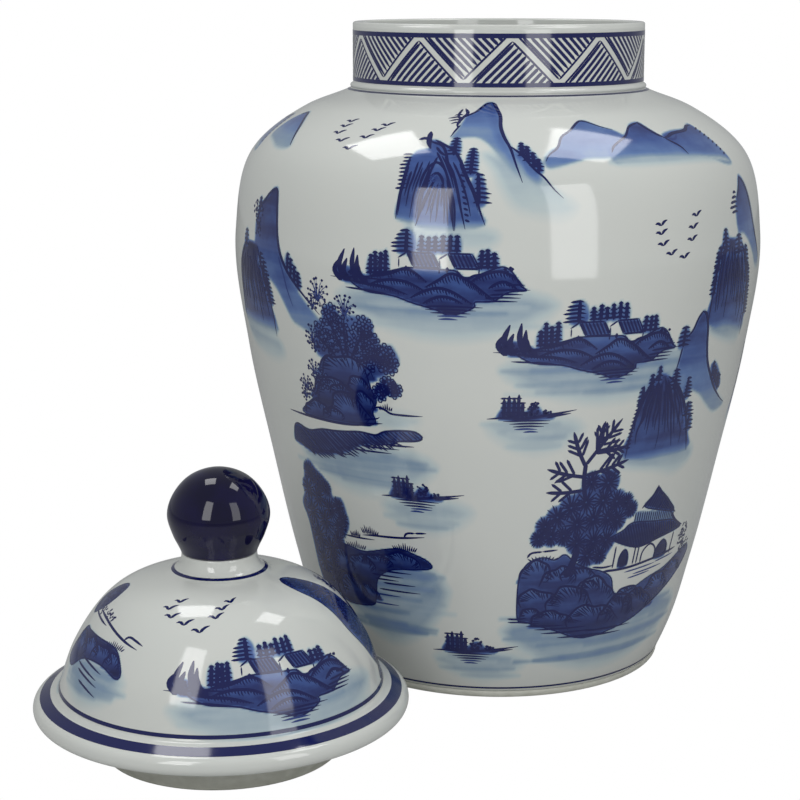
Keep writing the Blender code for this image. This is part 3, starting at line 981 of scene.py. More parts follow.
def left_mountain(pen):
    """A steep dark mountain with trees on its left shoulder and its right flank."""
    pen.wash([
        (-158, 34), (-158, 46), (-157.6, 58), (-152, 66), (-146, 70), (-142, 74), (-137.6, 74),
        (-135.4, 64), (-134, 52), (-130, 41), (-122, 30), (-113, 20), (-103, 11), (-98, 4), (-108, 2),
        (-118, 5), (-124, 8), (-132, 20), (-142, 28),
    ], 0.88, 0.34, 2.4)
    pen.wash([
        (-140, 60), (-134, 46), (-126, 34), (-118, 24), (-126, 18), (-136, 30), (-146, 46),
    ], 0.84, 0.52, 5)
    pen.stroke([
        (-141, 74.5), (-137.6, 73), (-135.6, 64), (-134, 52), (-131.4, 43.6), (-126, 35), (-118, 27),
        (-110, 20), (-102, 13),
    ], 2.0, 0.05, 0.4)
    pen.stroke([(-139, 75), (-144.4, 72), (-150, 67), (-155.6, 63)], 1.6)
    pen.stroke([(-132, 40), (-128, 32), (-125.4, 24), (-121.6, 15)], 1.2, 0.1, 0.6, MID)
    leaves(pen, -156, 61, 6.2, 6.5, 40, 1.6)
    leaves(pen, -155, 52, 3.6, 7, 18, 1.5)
    pine(pen, -154, 60, 9, 3)
    for x, y, height in ((-124, 34, 9), (-121.4, 31, 9.5), (-118.6, 28, 9), (-116, 25.4, 8.5)):
        pine(pen, x, y, height, 3.2, 0, 1)
    cliff(
        pen, [(-186, -2), (-184, 16), (-181, 32), (-172, 43)],
        [(-141, -4), (-142, 12), (-147, 28), (-155, 43)], 0.94, 0.62, 15, 12, 1.7,
    )
    pine(pen, -170.6, 41, 9.6, 4.6)
    grove(pen, [(-152, 34), (-146, 24), (-142, 10)], 4, 9, 4.6, 1)
    leaves(pen, -146, 22, 4.6, 4.6, 18, 1.6)
    pen.wash([(-184, -2), (-160, -4), (-140, -6), (-136, -14), (-150, -18), (-176, -12)], 0.26, 0.06, 6)


def leafy_tree(pen):
    """A spreading tree with round dotted leaves over a tall dark rock."""
    water(pen, -76, -48, -36, -45, 0.12)
    pen.mass([
        (-124, -44), (-121, -38), (-115, -34), (-110, -28), (-105, -20), (-103, -12), (-96, -7), (-88, -4),
        (-80, -8), (-76, -15), (-73.4, -24), (-71, -30), (-74, -36), (-77, -44),
    ], 0.84, 0.92)
    pen.wash([
        (-103, 8), (-98, 14), (-88, 14.6), (-78, 14.6), (-73, 14), (-70, 8), (-69, 2), (-65, 0), (-60, 0.6),
        (-56.6, -6), (-57.6, -10), (-64, -15), (-70, -17), (-78, -14), (-90, -8), (-104, -10), (-108, -4),
    ], 0.62, 0.76, 2.6)
    for x, y, half, height in (
        (-88, -20, 17, 13), (-97, -34, 18, 13), (-88, -44, 15, 16), (-78, -36, 7, 11), (-112, -44, 11, 9),
        (-91, -30, 9, 7), (-80, -26, 8, 8), (-100, -44, 8, 7),
    ):
        mound(pen, x, y, half, height)
    for x, y, radius, count in (
        (-102.4, 25, 6.6, 13), (-106.5, 19, 3.6, 7), (-85.6, 18.6, 6.4, 14), (-95, 14, 5, 11),
        (-90, 9, 5, 11), (-108.6, 1, 5.6, 12), (-101, 5, 5, 11), (-108, -4.6, 3, 7), (-74.6, 9.6, 5, 12),
        (-71.6, 2.4, 4.6, 12), (-80, 3, 6, 14), (-90, 0.5, 5.6, 12), (-64.6, -4.6, 5.4, 15),
        (-62, -9.6, 4.4, 12), (-70, -8, 5.6, 14), (-77, -6, 5, 12), (-63.6, -21, 4.6, 13),
        (-60, -23, 3.6, 10), (-68.4, -25, 3.8, 10), (-111, -17, 4.4, 11), (-106, -23, 4.6, 11),
        (-119, -26, 4.4, 10), (-121, -32, 3.6, 8), (-114, -31, 4, 9), (-98, -2, 5, 11),
    ):
        clump = dotted_clump if y > 17 and x < -85 or x < -107 else leafy_clump
        clump(pen, x, y, radius, count)
    for points in (
        [(-88, -10), (-92, 2), (-97, 12), (-101, 20)], [(-86, -8), (-87, 4), (-86, 14)],
        [(-84, -8), (-78, 2), (-74, 9)], [(-94, -8), (-101, -2), (-107, 2)],
        [(-80, -10), (-72, -6), (-65, -6)],
    ):
        pen.stroke(points, 1.5, 0.05, 0.4)
    pen.stroke([(-140, -44.4), (-122, -45), (-100, -45.4), (-84, -44.6), (-73, -42)], 1.3, 0.2, 0.3)
    pen.stroke([(-80, -41), (-72, -39.6), (-70, -38.4)], 1.0)
    pen.stroke([(-84, -43.4), (-74, -42.6), (-68.6, -42)], 1.0)
    pen.stroke([
        (-75, -34.6), (-70, -33), (-66, -34.4), (-62.6, -36), (-54, -36.2), (-45, -36),
    ], 1.2, 0.2, 0.3)
    grass(pen, -66, -34.6, 7, 4.4, 7)


def long_island(pen):
    """A long low spit of dark rock on the water."""
    water(pen, -136, -40, -56, -84, 0.24)
    spit = [
        (-142, -62), (-139, -54), (-134, -51.4), (-124, -53.4), (-112, -51), (-98, -50), (-84, -48.4),
        (-74, -49), (-68, -46.4), (-58, -45), (-50, -45), (-46, -48), (-50, -50), (-60, -51), (-64, -53),
        (-84, -56), (-94, -61), (-110, -65), (-124, -66.6), (-134, -64),
    ]
    pen.wash(spit, 0.62, 0.82, 1.2)
    pen.stroke(spit[:16], 1.2, 0.1, 0.2)
    hatch(pen, spit, -1.3, 2.7, 0.9, 0.6)
    for share in np.linspace(0.02, 0.98, 26):
        x, y = along([(-136, -63), (-124, -66), (-110, -64.6), (-92, -60), (-82, -56), (-62, -52.6)], share)
        pen.stroke([
            (x - 3, y + 2.2), (x + pen.random.uniform(3, 8), y - pen.random.uniform(1.2, 2.6)),
        ], 1.0)
    for y, left, right in ((-53.4, -66, -51), (-55.8, -84, -60), (-58.4, -90, -65), (-62.6, -112, -92)):
        pen.stroke([(left, y - 0.4), (right, y)], 1.1, 0.1, 0.5)


def lower_shore(pen):
    """A dark leaning tree on a bank, a reed line with a plank bridge, and a spit below it."""
    water(pen, -128, -36, -121, -172, 0.30)
    pen.wash([
        (-150, -101), (-143, -92), (-139, -80), (-132, -72), (-126, -76), (-119, -80), (-115.6, -86),
        (-113, -91), (-107, -90), (-104, -97), (-104, -107), (-112, -114), (-112, -124), (-120, -148),
        (-145, -148), (-146, -112),
    ], 0.84, 0.92, 2.0)
    for x, y, radius in (
        (-133, -79, 7), (-126, -84, 7), (-119, -86, 6), (-138, -90, 8), (-128, -93, 8), (-110, -95, 6),
        (-108, -102, 6), (-118, -98, 8), (-138, -103, 9), (-126, -106, 9), (-112, -108, 7), (-116, -116, 7),
        (-136, -117, 9), (-125, -122, 9), (-137, -132, 9), (-126, -137, 8),
    ):
        needle_burst(pen, x, y, radius)
    pen.mass([
        (-116, -118), (-104, -118), (-94, -119), (-84, -117), (-76, -115), (-66, -113.6), (-56, -116),
        (-48, -119), (-46, -123), (-58, -125), (-74, -127), (-86, -134), (-90, -146), (-96, -152),
        (-124, -152), (-126, -130),
    ], 0.88, 0.90)
    for x, y, half, height in (
        (-112, -134, 10, 13), (-98, -132, 12, 11), (-84, -127, 12, 8), (-66, -125, 15, 9),
        (-108, -150, 13, 14), (-94, -148, 8, 9),
    ):
        mound(pen, x, y, half, height)
    pen.stroke([(-109, -111.4), (-96, -111.2), (-84, -110.6)], 1.1, 0.2, 0.4)
    pen.stroke([(-93, -109), (-84, -108), (-72, -107.4), (-62, -106.6), (-49, -105)], 1.3, 0.2, 0.3)
    low_bridge(pen, -62.6, -106.4, 15)
    grass(pen, -87, -108, 11, 6.4, 10)
    grass(pen, -99, -111, 7, 4.6, 7)
    grass(pen, -63, -114.6, 14, 5, 12)
    grass(pen, -100, -118, 14, 4.6, 10)
    for y, left, right in (
        (-128, -84, -60), (-131, -90, -66), (-133.4, -88, -70), (-135.2, -82, -58), (-139.4, -86, -55),
        (-143, -94, -70), (-148.6, -92, -72),
    ):
        pen.stroke([(left, y - 0.6), (right, y)], 1.1, 0.1, 0.5, DARK if y > -141 else MID)


def garden_pavilion(pen):
    """A pavilion with a tiled hipped roof on a rocky bank, beside a great pine and bare branches."""
    water(pen, 0, 158, -150, -188, 0.30)
    pen.wash([
        (24, -105), (26, -94), (38, -86), (44, -76), (60, -74), (70, -84), (76, -92), (72, -104),
        (68, -116), (56, -122), (44, -114), (34, -107),
    ], 0.66, 0.76, 2.0)
    pen.mass([
        (10, -152), (9, -138), (10, -126), (15, -118), (24, -115), (32, -117), (38, -114), (46, -120),
        (56, -124), (66, -127), (74, -132), (79, -142), (92, -142), (108, -137), (125, -134), (150, -126),
        (160, -130), (156, -137), (140, -146), (120, -154), (96, -162), (60, -167), (36, -160), (16, -154),
    ], 0.72, 0.84)
    for x, y, half, height in (
        (21, -131, 11, 14), (25, -146, 14, 12), (36, -134, 12, 13), (48, -150, 18, 16), (50, -131, 12, 9),
        (66, -146, 14, 16), (66, -162, 20, 16), (34, -158, 16, 10), (86, -160, 17, 16), (104, -157, 16, 14),
        (122, -148, 15, 11), (20, -152, 9, 6), (58, -139, 8, 8), (92, -148, 14, 8), (140, -141, 13, 9),
    ):
        mound(pen, x, y, half, height)
    for x, y, radius in (
        (60.8, -74.5, 9), (49.9, -73, 7), (39, -87, 9), (31, -92, 8), (24, -97, 7), (20.5, -104, 6),
        (28, -103, 7), (48, -84.5, 8), (59, -84.5, 9), (68.6, -86, 8), (75.5, -87, 6), (43.7, -97, 9),
        (54, -95, 9), (64, -95, 9), (71, -97, 8), (80, -92, 6), (36, -103, 7), (45, -108, 8), (56, -108, 9),
        (65, -108, 8), (53, -116, 8), (62, -117, 6),
    ):
        needle_burst(pen, x, y, radius)
    for x, y, angle, length, forks in (
        (45, -64, 114, 22, 3), (45, -63, 52, 31, 4), (50, -56.6, 6, 20, 3), (46, -70, 166, 24, 3),
        (45, -77.5, 180, 22, 2), (46, -69, 14, 27, 4), (51, -55, 80, 16, 2),
    ):
        twig(pen, x, y, angle, length, forks)
    pen.stroke([(40, -128), (44, -119), (46, -110)], 4.0, 0.05, 0.2)
    pen.stroke([(47, -82), (45, -72), (45, -62)], 2.4, 0.05, 0.05)
    low_bridge(pen, 14, -115, 19, 2.8)
    grass(pen, 24, -117, 16, 3.4, 9)
    pavilion(pen)
    pen.stroke([(3, -151.6), (9, -152), (16, -151.4)], 1.2)
    pen.stroke([(3.4, -153.8), (12, -154), (22, -155)], 1.0)
    for y, left, right in (
        (-157, 16, 44), (-159.4, 22, 60), (-162, 27, 66), (-163.4, 60, 100), (-165.4, 39, 74),
        (-166.6, 56, 92),
    ):
        pen.stroke([(left, y + 0.5), (right, y - 0.3)], 1.1, 0.2, 0.4)


def pavilion(pen):
    """Two tiers of hipped roof over arched walls on a terrace."""
    pen.wash([(75, -112), (126, -112), (124, -127), (74, -127)], 0.0, soft=1.2, sharp=True)
    upper = [(100, -83), (105, -86), (113, -92), (121, -99.4), (104, -96), (91, -92), (96, -87)]
    gallery = [(85, -94), (104, -96.4), (121, -99.6), (122.4, -105), (104, -102.6), (84, -100.4)]
    lower = [
        (84, -100.4), (104, -102.6), (122, -105), (129, -109), (134, -111.4), (110, -113.6), (92, -115.6),
        (80, -113), (69, -107.6), (77, -104),
    ]
    pen.wash(gallery, 0.36, soft=1.0, sharp=True)
    hatch(pen, gallery, 0.0, 1.9, 0.8)
    pen.mass(upper, 0.74, 0.84)
    pen.mass(lower, 0.78, 0.84)
    hatch(pen, upper, 0.55, 2.1, 1.0)
    hatch(pen, lower, -0.5, 2.1, 1.0)
    pen.stroke([(89, -93), (94, -89), (97.4, -86), (100, -81.6)], 1.6, 0.2, 0.1)
    pen.stroke([(99.6, -81.4), (104, -86), (112, -91.6), (118, -97.6), (123, -100.6)], 1.7, 0.1, 0.2)
    pen.stroke([(99.4, -86), (100, -81)], 2.0, 0.1, 0.4)
    pen.stroke([(69, -107.4), (80, -112), (92, -115.6), (108, -113.6), (121, -111.4), (134, -110.4)], 1.7)
    pen.stroke([(118, -99.6), (124, -105), (130, -108.4), (136, -110.6)], 1.6)
    for x, half in ((81, 3.6), (103, 6.6), (116, 6.0)):
        narrow = 0.9 * half
        arch = [(x - half, -126), (x - narrow, -119.6), (x, -115.8), (x + narrow, -119.6), (x + half, -126)]
        if x != 103:
            pen.wash(arch, 0.92, 0.92, 1.0)
        pen.stroke(arch, 1.1, 0.02, 0.02)
    for x in (73.6, 90, 93, 127):
        pen.stroke([(x, -113), (x - 0.3, -126)], 1.0, 0.05, 0.05)
    pen.stroke([(66, -127), (84, -127.4), (104, -126), (124, -124.6), (134, -123.6)], 1.5, 0.05, 0.1)
    for y, left, right in ((-129.4, 84, 112), (-131.6, 92, 120), (-133.6, 88, 108), (-127.6, 112, 132)):
        pen.stroke([(left, y - 0.6), (right, y + 0.8)], 0.9, ink=MID)
    leaves(pen, 141, -117, 6, 7, 50, 1.7)
    leaves(pen, 148, -126, 7, 5, 40, 1.7)
    pen.stroke([(58, -123.4), (66, -124.6), (74, -124.2)], 1.2)


def flight(pen, places, size):
    """Birds at a list of places."""
    for x, y in places:
        bird(pen, x, y, size)


def flock_in_v(pen):
    """The birds over the left of the shoulder."""
    flight(
        pen,
        [
            (-111, 121.5), (-112, 117), (-112, 111.5), (-104.5, 106), (-95, 101), (-88.5, 109.5),
            (-84, 115.5), (-80, 120),
        ],
        9.5,
    )


def flock_in_u(pen):
    """The birds over the right-hand water."""
    flight(
        pen, [(79, 61), (79, 56.6), (80, 51), (85, 46), (93.6, 43.7), (99.5, 52), (100.7, 58), (103.6, 64)],
        7.6,
    )


def set_out(pen, motifs):
    """Paints motifs at their places. An islet keeps its real width wherever it is."""
    for motif, x, y in motifs:
        motif(pen.real(x, y) if motif is islet else pen.at(x, y))


def paint_front(pen):
    """The photographed half. Most motifs are drawn in place, so they aren't moved."""
    for motif in (
        half_ridge, flock_in_v, tall_mountain, leaping_cliff, distant_range, flock_in_u, left_mountain,
        upper_cliff, rocky_island,
    ):
        motif(pen)
    rocky_island(pen.at(85, -34.5))
    for motif in (near_peak, striped_cliff, leafy_tree, long_island):
        motif(pen)
    set_out(pen, ((islet, 12, -34.6), (islet, -50, -82), (islet, -20, -172)))
    lower_shore(pen)
    garden_pavilion(pen)


def paint_back(pen):
    """The unseen half: the same families of scenery, in another order."""
    set_out(
        pen,
        (
            (tall_mountain, 318, -16), (leaping_cliff, 318, -16), (distant_range, 190, -8),
            (half_ridge, 410, 0), (flock_in_v, 490, -10), (flock_in_u, 250, -22), (rocky_island, 345, -34),
            (rocky_island, 450, 6), (left_mountain, 612, 4), (striped_cliff, 110, 8), (near_peak, 104, 12),
            (leafy_tree, 505, -20), (islet, 340, -84), (islet, 375, -50), (islet, 420, -174),
            (garden_pavilion, 205, 0), (lower_shore, 532, -6), (long_island, 575, -26),
            (tall_mountain, 570, -12), (leaping_cliff, 570, -12), (distant_range, 548, 4),
            (flock_in_u, 550, -16), (rocky_island, 606, -36), (islet, 640, -36), (islet, 500, -70),
            (striped_cliff, 562, 16), (garden_pavilion, 512, -2),
        ),
    )


def paint_lid(pen):
    """The shown side has an island, a shore and a leafy bank; the unseen side repeats the island."""
    gulls = [
        (-26, 39), (-31, 33.4), (-26, 28.6), (-15.7, 25.3), (-5.4, 21.8), (3.6, 29.6), (8, 35), (15, 40),
    ]
    rocky_island(pen.at(66.6, -41, 0.93, 0.97))
    flight(pen, gulls, 11)
    shore_on_lid(pen)
    leafy_bank(pen)
    rocky_island(pen.at(-118, -43, 0.93, 0.97))
    flight(pen.at(-178, 0), gulls[:6], 11)


def shore_on_lid(pen):
    """A reed line with a plank bridge, and a spit of rock on the water below it."""
    water(pen, -92, -42, -3, -24, 0.26)
    pen.mass([(-108, 20), (-105, 32), (-98, 36), (-90, 34), (-86, 27), (-89, 20), (-98, 14)], 0.84, 0.9)
    leaves(pen, -96, 27, 8.6, 8, 60, 2.0)
    pen.stroke([(-94, 16.6), (-82, 15.6), (-70, 14.4)], 1.1)
    pen.stroke([(-90, 19), (-76, 17.6), (-66, 15.6), (-56, 13), (-48, 10.8), (-39, 8.6)], 1.3, 0.2, 0.2)
    pen.stroke([(-50, 11.6), (-47, 13.8), (-42, 12.8), (-36.4, 11)], 1.2, 0.1, 0.3)
    for x, y in ((-85, 17), (-76, 18), (-70, 17.4)):
        leaves(pen, x, y + 2, 3.6, 2.2, 10, 1.5)
    pen.mass([
        (-92, 7), (-84, 8), (-72, 8), (-60, 7.6), (-52, 6), (-47, 1.6), (-43.6, -4.6), (-46, -7),
        (-56, -3.6), (-66, -3), (-76, -5), (-86, -12), (-96, -8),
    ], 0.86, 0.88)
    for x, y, half, height in ((-84, -4, 9, 10), (-72, -3, 9, 10), (-60, -3, 9, 9), (-51, -4, 6, 8)):
        mound(pen, x, y, half, height)
    grass(pen, -54, 6, 12, 4, 10)
    for y, left, right in ((-7.4, -76, -56), (-11, -78, -58), (-14, -76, -56.6), (-18.6, -72, -56)):
        pen.stroke([(left, y + 4), ((left + right) / 2, y + 2.2), (right, y)], 1.1, 0.1, 0.4)


def leafy_bank(pen):
    """A broad band of foliage that hangs down the dome."""
    outline = [
        (77, 44), (82, 48), (92, 47), (102, 38), (110, 24), (116, 8), (118, -8), (112, -20), (103, -16),
        (95, -3), (90, 6), (87, 17), (83, 27), (78, 36),
    ]
    pen.mass(outline, 0.74, 0.70)
    for x, y, radius in (
        (84, 43, 4.6), (92, 40, 5.4), (88, 33, 5), (97, 33, 5.4), (92, 25, 5), (101, 24, 5.4), (96, 15, 5),
        (105, 14, 5.4), (99, 5, 4.6), (109, 4, 5.4), (104, -6, 5), (112, -6, 4.6),
    ):
        leafy_clump(pen, x, y, radius, 13)
    leafy_tree(pen.at(205, 8, 0.8, 0.8))


# ---------------------------------------------------------------- rings and the neck's band


def ring(sheet, inset, width):
    """A line right round the surface, in from its lower end, or from its upper end if inset is negative."""
    run = sheet.skin.run
    y = run[0] + inset if inset > 0 else run[-1] + inset
    reach = math.pi * sheet.skin.around
    line = np.stack([np.linspace(-reach, reach, RING_POINTS), np.full(RING_POINTS, y)], axis=1)
    sheet.ribbon(line, width)


def lattice_band(sheet):
    """Triangles of slanting lines between white bars that zigzag round the neck."""
    pen = Pen(sheet)
    period = 2 * math.pi * sheet.skin.around / LATTICE_REPEATS
    lean = (period / 2) / (LATTICE_TOP - LATTICE_FOOT)
    bar = LATTICE_BAR
    for index in range(LATTICE_REPEATS):
        apex = math.radians(LATTICE_TURN) * sheet.skin.around + index * period
        upright = [
            (apex - period / 2 + bar, LATTICE_FOOT),
            (apex, LATTICE_TOP - bar / lean),
            (apex + period / 2 - bar, LATTICE_FOOT),
        ]
        hanging = [
            (apex + bar, LATTICE_TOP),
            (apex + period - bar, LATTICE_TOP),
            (apex + period / 2, LATTICE_FOOT + bar / lean),
        ]
        for triangle, slant in ((upright, lean), (hanging, -lean)):
            hatch(pen, triangle, slant, LATTICE_PITCH, LATTICE_LINE, 0.05)
        for triangle in (upright, hanging):
            for a, b in zip(triangle, triangle[1:] + triangle[:1]):
                pen.stroke([a, b], 1.1, 0.02, 0.02, sharp=True)
    ring(sheet, LATTICE_TOP + 0.2, 2.4)
    ring(sheet, LATTICE_FOOT, 2.2)


# ---------------------------------------------------------------- meshes


def new_piece(name, vertices, faces, materials):
    """A smooth mesh object in the scene, with its materials in order."""
    mesh = bpy.data.meshes.new(name)
    mesh.from_pydata(vertices, [], faces)
    mesh.polygons.foreach_set("use_smooth", np.ones(len(mesh.polygons), bool))
    mesh.update()
    piece = bpy.data.objects.new(name, mesh)
    bpy.context.scene.collection.objects.link(piece)
    for material in materials:
        mesh.materials.append(material)
    return piece


def turned(name, profile, centre, columns, material):
    """A surface of revolution, and its number of rows of vertices.

    Its profile runs upwards on its outer side, and may start and end on the axis.
    """
    on_axis = [profile[0, 0] == 0, profile[-1, 0] == 0]
    rows = profile[1 if on_axis[0] else 0 : -1 if on_axis[1] else None]
    turn = (np.arange(columns) / columns - 0.5) * 2 * math.pi
    across = centre[0] + np.outer(rows[:, 0], np.sin(turn))
    deep = centre[1] - np.outer(rows[:, 0], np.cos(turn))
    height = np.repeat(rows[:, 1:], columns, axis=1)
    vertices = np.stack([across, deep, height], axis=2).reshape(-1, 3)
    corner = np.arange(len(rows) * columns).reshape(len(rows), columns)
    beside = np.roll(corner, -1, axis=1)
    faces = np.stack([corner[:-1], beside[:-1], beside[1:], corner[1:]], axis=2).reshape(-1, 4).tolist()
    for at_start, row, point in ((True, corner[0], profile[0]), (False, corner[-1], profile[-1])):
        if on_axis[0 if at_start else 1]:
            pole = len(vertices)
            vertices = np.vstack([vertices, [centre[0], centre[1], point[1]]])
            around = np.roll(row, -1)
            pairs = zip(around, row) if at_start else zip(row, around)
            faces += [(int(a), int(b), pole) for a, b in pairs]
    return new_piece(name, vertices * MM, faces, [material]), len(rows)


def set_tones(piece, sheet, first_row, rows):
    """Stores the sheet's washes on the rows of the mesh that it covers."""
    tones = np.zeros((rows, sheet.columns))
    tones[first_row : first_row + len(sheet.tones)] = sheet.tones
    values = np.zeros(len(piece.data.vertices), np.float32)
    values[: tones.size] = tones.ravel()
    attribute = piece.data.attributes.new("cobalt", "FLOAT", "POINT")
    attribute.data.foreach_set("value", values)


def brushwork(name, sheets, inks):
    """All strokes of the sheets as one mesh of thin ribbons, later strokes over earlier ones."""
    vertices, faces, materials = [], [], []
    total = 0
    order = list(INKS)
    for sheet in sheets:
        count = max(1, len(sheet.strokes))
        for index, (ink, grid) in enumerate(sheet.strokes):
            length, across = grid.shape[:2]
            lift = LOWEST_LIFT + (HIGHEST_LIFT - LOWEST_LIFT) * index / count
            flat = grid.reshape(-1, 2)
            vertices.append(sheet.skin.place(flat[:, 0], flat[:, 1], lift))
            corner = total + np.arange(length * across).reshape(length, across)
            made = np.stack([corner[:-1, :-1], corner[1:, :-1], corner[1:, 1:], corner[:-1, 1:]], axis=2)
            faces.append(made.reshape(-1, 4))
            materials.append(np.full(len(faces[-1]), order.index(ink)))
            total += length * across
    piece = new_piece(name, np.vstack(vertices), np.vstack(faces).tolist(), [inks[ink] for ink in order])
    piece.data.polygons.foreach_set("material_index", np.concatenate(materials).astype(np.int32))
    return piece


# ---------------------------------------------------------------- materials


def shader_of(name, roughness):
    """A material with the glaze's index of refraction, its node tree and its Principled shader."""
    material = bpy.data.materials.new(name)
    material.use_nodes = True
    shader = material.node_tree.nodes["Principled BSDF"]
    shader.inputs["Roughness"].default_value = roughness
    shader.inputs["IOR"].default_value = GLAZE_IOR
    return material, material.node_tree, shader


def noise(tree, scale, stretch=(1, 1, 1), detail=3.0):
    """A noise texture on the piece's own coordinates, in metres. stretch packs it along an axis."""
    place = tree.nodes.new("ShaderNodeTexCoord")
    mapping = tree.nodes.new("ShaderNodeMapping")
    texture = tree.nodes.new("ShaderNodeTexNoise")
    mapping.inputs["Scale"].default_value = stretch
    texture.inputs["Scale"].default_value = scale
    texture.inputs["Detail"].default_value = detail
    tree.links.new(place.outputs["Object"], mapping.inputs["Vector"])
    tree.links.new(mapping.outputs["Vector"], texture.inputs["Vector"])
    return texture.outputs["Fac"]


def bump(tree, shader, height, strength, distance):
    """Lets a height bend the shader's normal. distance is in metres."""
    node = tree.nodes.new("ShaderNodeBump")
    node.inputs["Strength"].default_value = strength
    node.inputs["Distance"].default_value = distance
    tree.links.new(height, node.inputs["Height"])
    tree.links.new(node.outputs["Normal"], shader.inputs["Normal"])


def math_node(tree, operation, *values):
    """The result of a Math node whose inputs are numbers or other nodes' outputs."""
    node = tree.nodes.new("ShaderNodeMath")
    node.operation = operation
    for socket, value in zip(node.inputs, values):
        if isinstance(value, float):
            socket.default_value = value
        else:
            tree.links.new(value, socket)
    return node.outputs["Value"]


def ramp(tree, value, stops):
    """A colour picked by a value, from stops of (place, colour)."""
    node = tree.nodes.new("ShaderNodeValToRGB")
    node.color_ramp.interpolation = "LINEAR"
    elements = node.color_ramp.elements
    while len(elements) < len(stops):
        elements.new(0.5)
    for element, (place, colour) in zip(elements, stops):
        element.position = place
        element.color = (*colour, 1)
    tree.links.new(value, node.inputs["Fac"])
    return node.outputs["Color"]


def ripple_glaze(tree, shader):
    """The slight waviness of a fired glaze."""
    bump(tree, shader, noise(tree, 28.0, detail=1.0), 0.05, 0.002)


def painted_porcelain():
    """White glazed porcelain whose cobalt washes come from the tones stored on the mesh."""
    material, tree, shader = shader_of("painted_porcelain", GLAZE_ROUGHNESS)
    tone = tree.nodes.new("ShaderNodeAttribute")
    tone.attribute_name = "cobalt"
    grain = math_node(tree, "MULTIPLY_ADD", noise(tree, 14.0, (1, 1, 9), 4.0), 0.62, 0.69)
    cloud = math_node(tree, "MULTIPLY_ADD", noise(tree, 90.0), 0.36, 0.82)
    uneven = math_node(tree, "MULTIPLY", math_node(tree, "MULTIPLY", tone.outputs["Fac"], grain), cloud)
    speck = math_node(tree, "MULTIPLY", noise(tree, 22.0), 0.02)
    colour = ramp(tree, math_node(tree, "ADD", uneven, speck), WASH_COLOURS)
    tree.links.new(colour, shader.inputs["Base Color"])
    ripple_glaze(tree, shader)
    return material


def ink_material(name, colour):
    """Fired cobalt under the same clear glaze, in one colour, so that a stroke's edge is crisp."""
    material, tree, shader = shader_of(f"cobalt_{name}", GLAZE_ROUGHNESS)
    shader.inputs["Base Color"].default_value = (*colour, 1)
    ripple_glaze(tree, shader)
    return material


def biscuit():
    """Bare fired clay, wiped free of glaze."""
    material, tree, shader = shader_of("unglazed_biscuit", BISCUIT_ROUGHNESS)
    stops = [(0.3, (0.60, 0.60, 0.52)), (0.7, (0.72, 0.72, 0.64))]
    colour = ramp(tree, noise(tree, 160.0), stops)
    tree.links.new(colour, shader.inputs["Base Color"])
    bump(tree, shader, noise(tree, 1400.0), 0.25, 0.0004)
    return material


def cobalt_glaze():
    """The knob's thick cobalt glaze, near black where it pools."""
    material, tree, shader = shader_of("cobalt_glaze", KNOB_ROUGHNESS)
    shader.inputs["IOR"].default_value = KNOB_IOR
    stops = [(0.35, (0.0035, 0.0025, 0.024)), (0.70, (0.0060, 0.0040, 0.050))]
    colour = ramp(tree, noise(tree, 45.0), stops)
    tree.links.new(colour, shader.inputs["Base Color"])
    bump(tree, shader, noise(tree, 40.0, detail=1.0), 0.06, 0.002)
    return material


# ---------------------------------------------------------------- pieces


def build_jar(materials, inks):
    """The jar's glazed body with its washes, its brushwork and its bare foot ring."""
    sheet = Sheet(Skin(jar_skin_profile(), JAR_CENTRE, JAR_AROUND, JAR_ZERO), JAR_COLUMNS, seed=11)
    pen = Pen(sheet)
    paint_back(pen)
    paint_front(pen)
    ring(sheet, *JAR_FOOT_RING)
    ring(sheet, *JAR_SHOULDER_RING)
    wall = straight((NECK_RADIUS, NECK_FOOT + 3.4), (NECK_RADIUS, JAR_HEIGHT - RIM_ROUNDING), 1)
    neck = Sheet(Skin(wall, JAR_CENTRE, NECK_RADIUS, 0.0), JAR_COLUMNS, seed=12)
    lattice_band(neck)
    jar, rows = turned("jar_porcelain", jar_profile(), JAR_CENTRE, JAR_COLUMNS, materials["porcelain"])
    set_tones(jar, sheet, 1, rows)
    finish_piece(jar, "jar", "painted_porcelain", "jar_body", "jar_neck")
    painting = brushwork("jar_painting", [sheet, neck], inks)
    finish_piece(painting, "jar", "painted_porcelain")
    foot, _ = turned("jar_foot", foot_profile(), JAR_CENTRE, RING_COLUMNS, materials["biscuit"])
    finish_piece(foot, "jar", "unglazed_biscuit", "jar_foot_ring")


